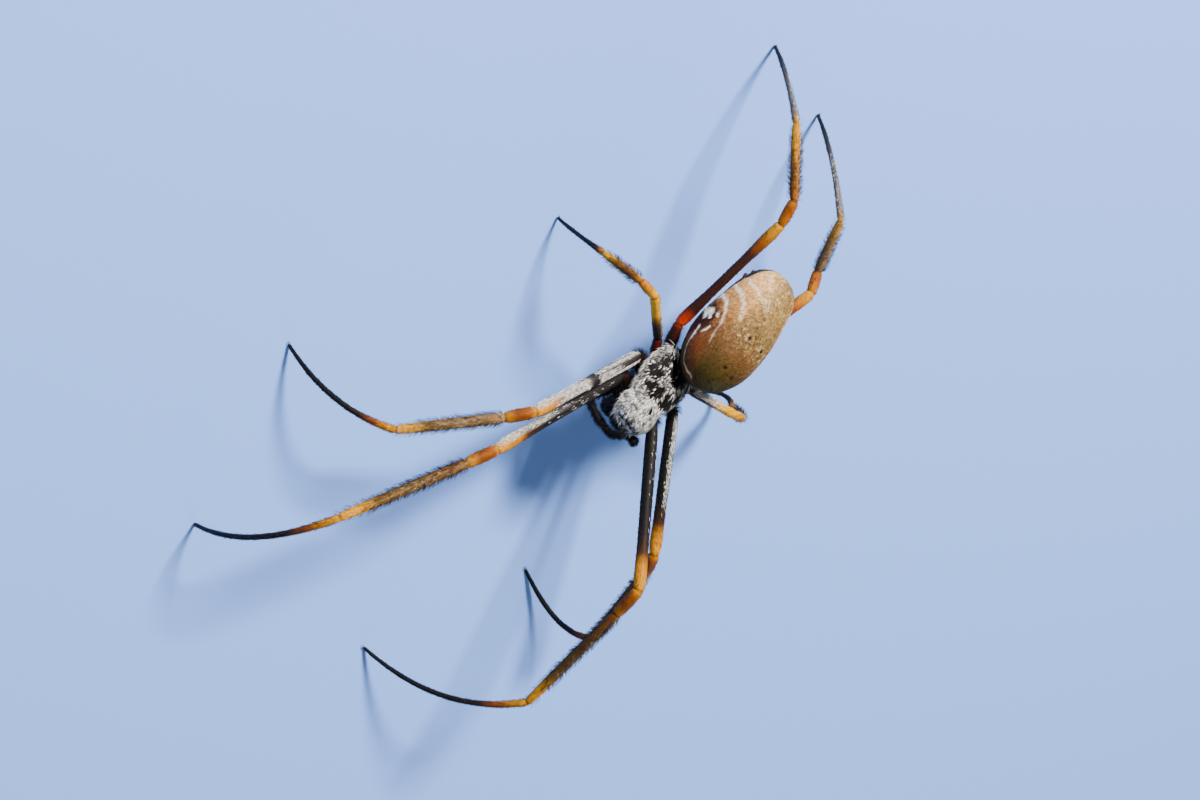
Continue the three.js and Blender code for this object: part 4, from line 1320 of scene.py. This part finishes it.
# The camera is at the photograph's viewing angle, in degrees: it turns with the spider set on the floor
CAMERA_TARGET = np.array([4.7, -2.1, 0.0])
CAMERA_AZIMUTH, CAMERA_HEIGHT, CAMERA_ROLL = -75.0, 49.6, 127.8
CAMERA_DISTANCE = 300.0
CAMERA_LENS = 100.0
# Lights: direction, size in metres, power in watts and tint
LIGHT_DISTANCE = 0.5
LIGHTS = {
    "key": ((-0.42, 0.6, 0.68), 0.1, 9.8, (1.0, 0.96, 0.9)),
    "fill": ((-0.7, -0.7, 0.5), 0.3, 0.45, (0.85, 0.93, 1.0)),
    "side": ((0.85, -0.45, 0.3), 0.3, 1.6, (0.94, 0.97, 1.0)),
}


def turn_to(made, right, up, back, place):
    """Sets an object's axes, and its place in metres."""
    matrix = np.eye(4)
    matrix[:3] = np.stack([right, up, back, place], axis=1)
    made.matrix_world = Matrix(matrix.tolist())


def add_camera():
    """Camera on a sphere about its target, level and then rolled about its axis."""
    azimuth, roll = np.radians([CAMERA_AZIMUTH, CAMERA_ROLL])
    back = heading(1, CAMERA_AZIMUTH, CAMERA_HEIGHT)
    level = np.array([math.cos(azimuth), math.sin(azimuth), 0])
    upright = np.cross(back, level)
    right = level * math.cos(roll) + upright * math.sin(roll)
    up = upright * math.cos(roll) - level * math.sin(roll)
    data = bpy.data.cameras.new("camera")
    data.lens = CAMERA_LENS
    data.sensor_width = 36.0
    data.clip_start = 0.01
    data.clip_end = 10.0
    made = placed("camera", data)
    turn_to(made, right, up, back, (CAMERA_TARGET + STAND_OFFSET + back * CAMERA_DISTANCE) * MM)
    bpy.context.scene.camera = made


def add_floor():
    """A square of matt blue backdrop paper: rough fibre, so an even colour with no shine."""
    mesh = bpy.data.meshes.new("floor")
    half = 2.0
    corners = [(-half, -half, 0), (half, -half, 0), (half, half, 0), (-half, half, 0)]
    mesh.from_pydata(corners, [], [(0, 1, 2, 3)])
    paper = {"Base Color": (*colour("#7299e6"), 1), "Roughness": 0.9}
    mesh.materials.append(start_material("floor_paper", paper)[0])
    placed("floor", mesh)


def add_lights():
    """A faint even sky, and square area lights that face the model."""
    world = bpy.data.worlds.new("studio")
    world.use_nodes = True
    sky = world.node_tree.nodes["Background"]
    sky.inputs["Color"].default_value = (0.8, 0.88, 1.0, 1)
    sky.inputs["Strength"].default_value = 0.17
    bpy.context.scene.world = world
    for name, (direction, size, power, tint) in LIGHTS.items():
        data = bpy.data.lights.new(name, "AREA")
        data.size = size
        data.energy = power
        data.color = tint
        back = unit(direction)
        right = unit(np.cross(UPWARDS, back) + np.array([1e-6, 0, 0]))
        turn_to(placed(name, data), right, np.cross(back, right), back, back * LIGHT_DISTANCE)


add_camera()
skin = Skin()
coats = []
add_front(skin, coats)
add_abdomen(skin, coats)
add_legs(skin, coats)
horn_material = cuticle("horn", 0.6, 0.06, 0.01, 0.25)
abdomen_material = cuticle("abdomen_skin", 0.62, 0.07, 0.02, 0.14, 0.24)
body_skin = skin.build("skin", [horn_material, abdomen_material])
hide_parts(*[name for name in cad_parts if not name.startswith(("eye", "fang"))])
small_parts = [(add_eyes(), "eye"), (add_fangs(), "fang"), (add_claws(), "foot")]
for piece, slot in [(body_skin, "carapace"), *coats, *small_parts]:
    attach(piece, "root")
add_floor()
add_lights()
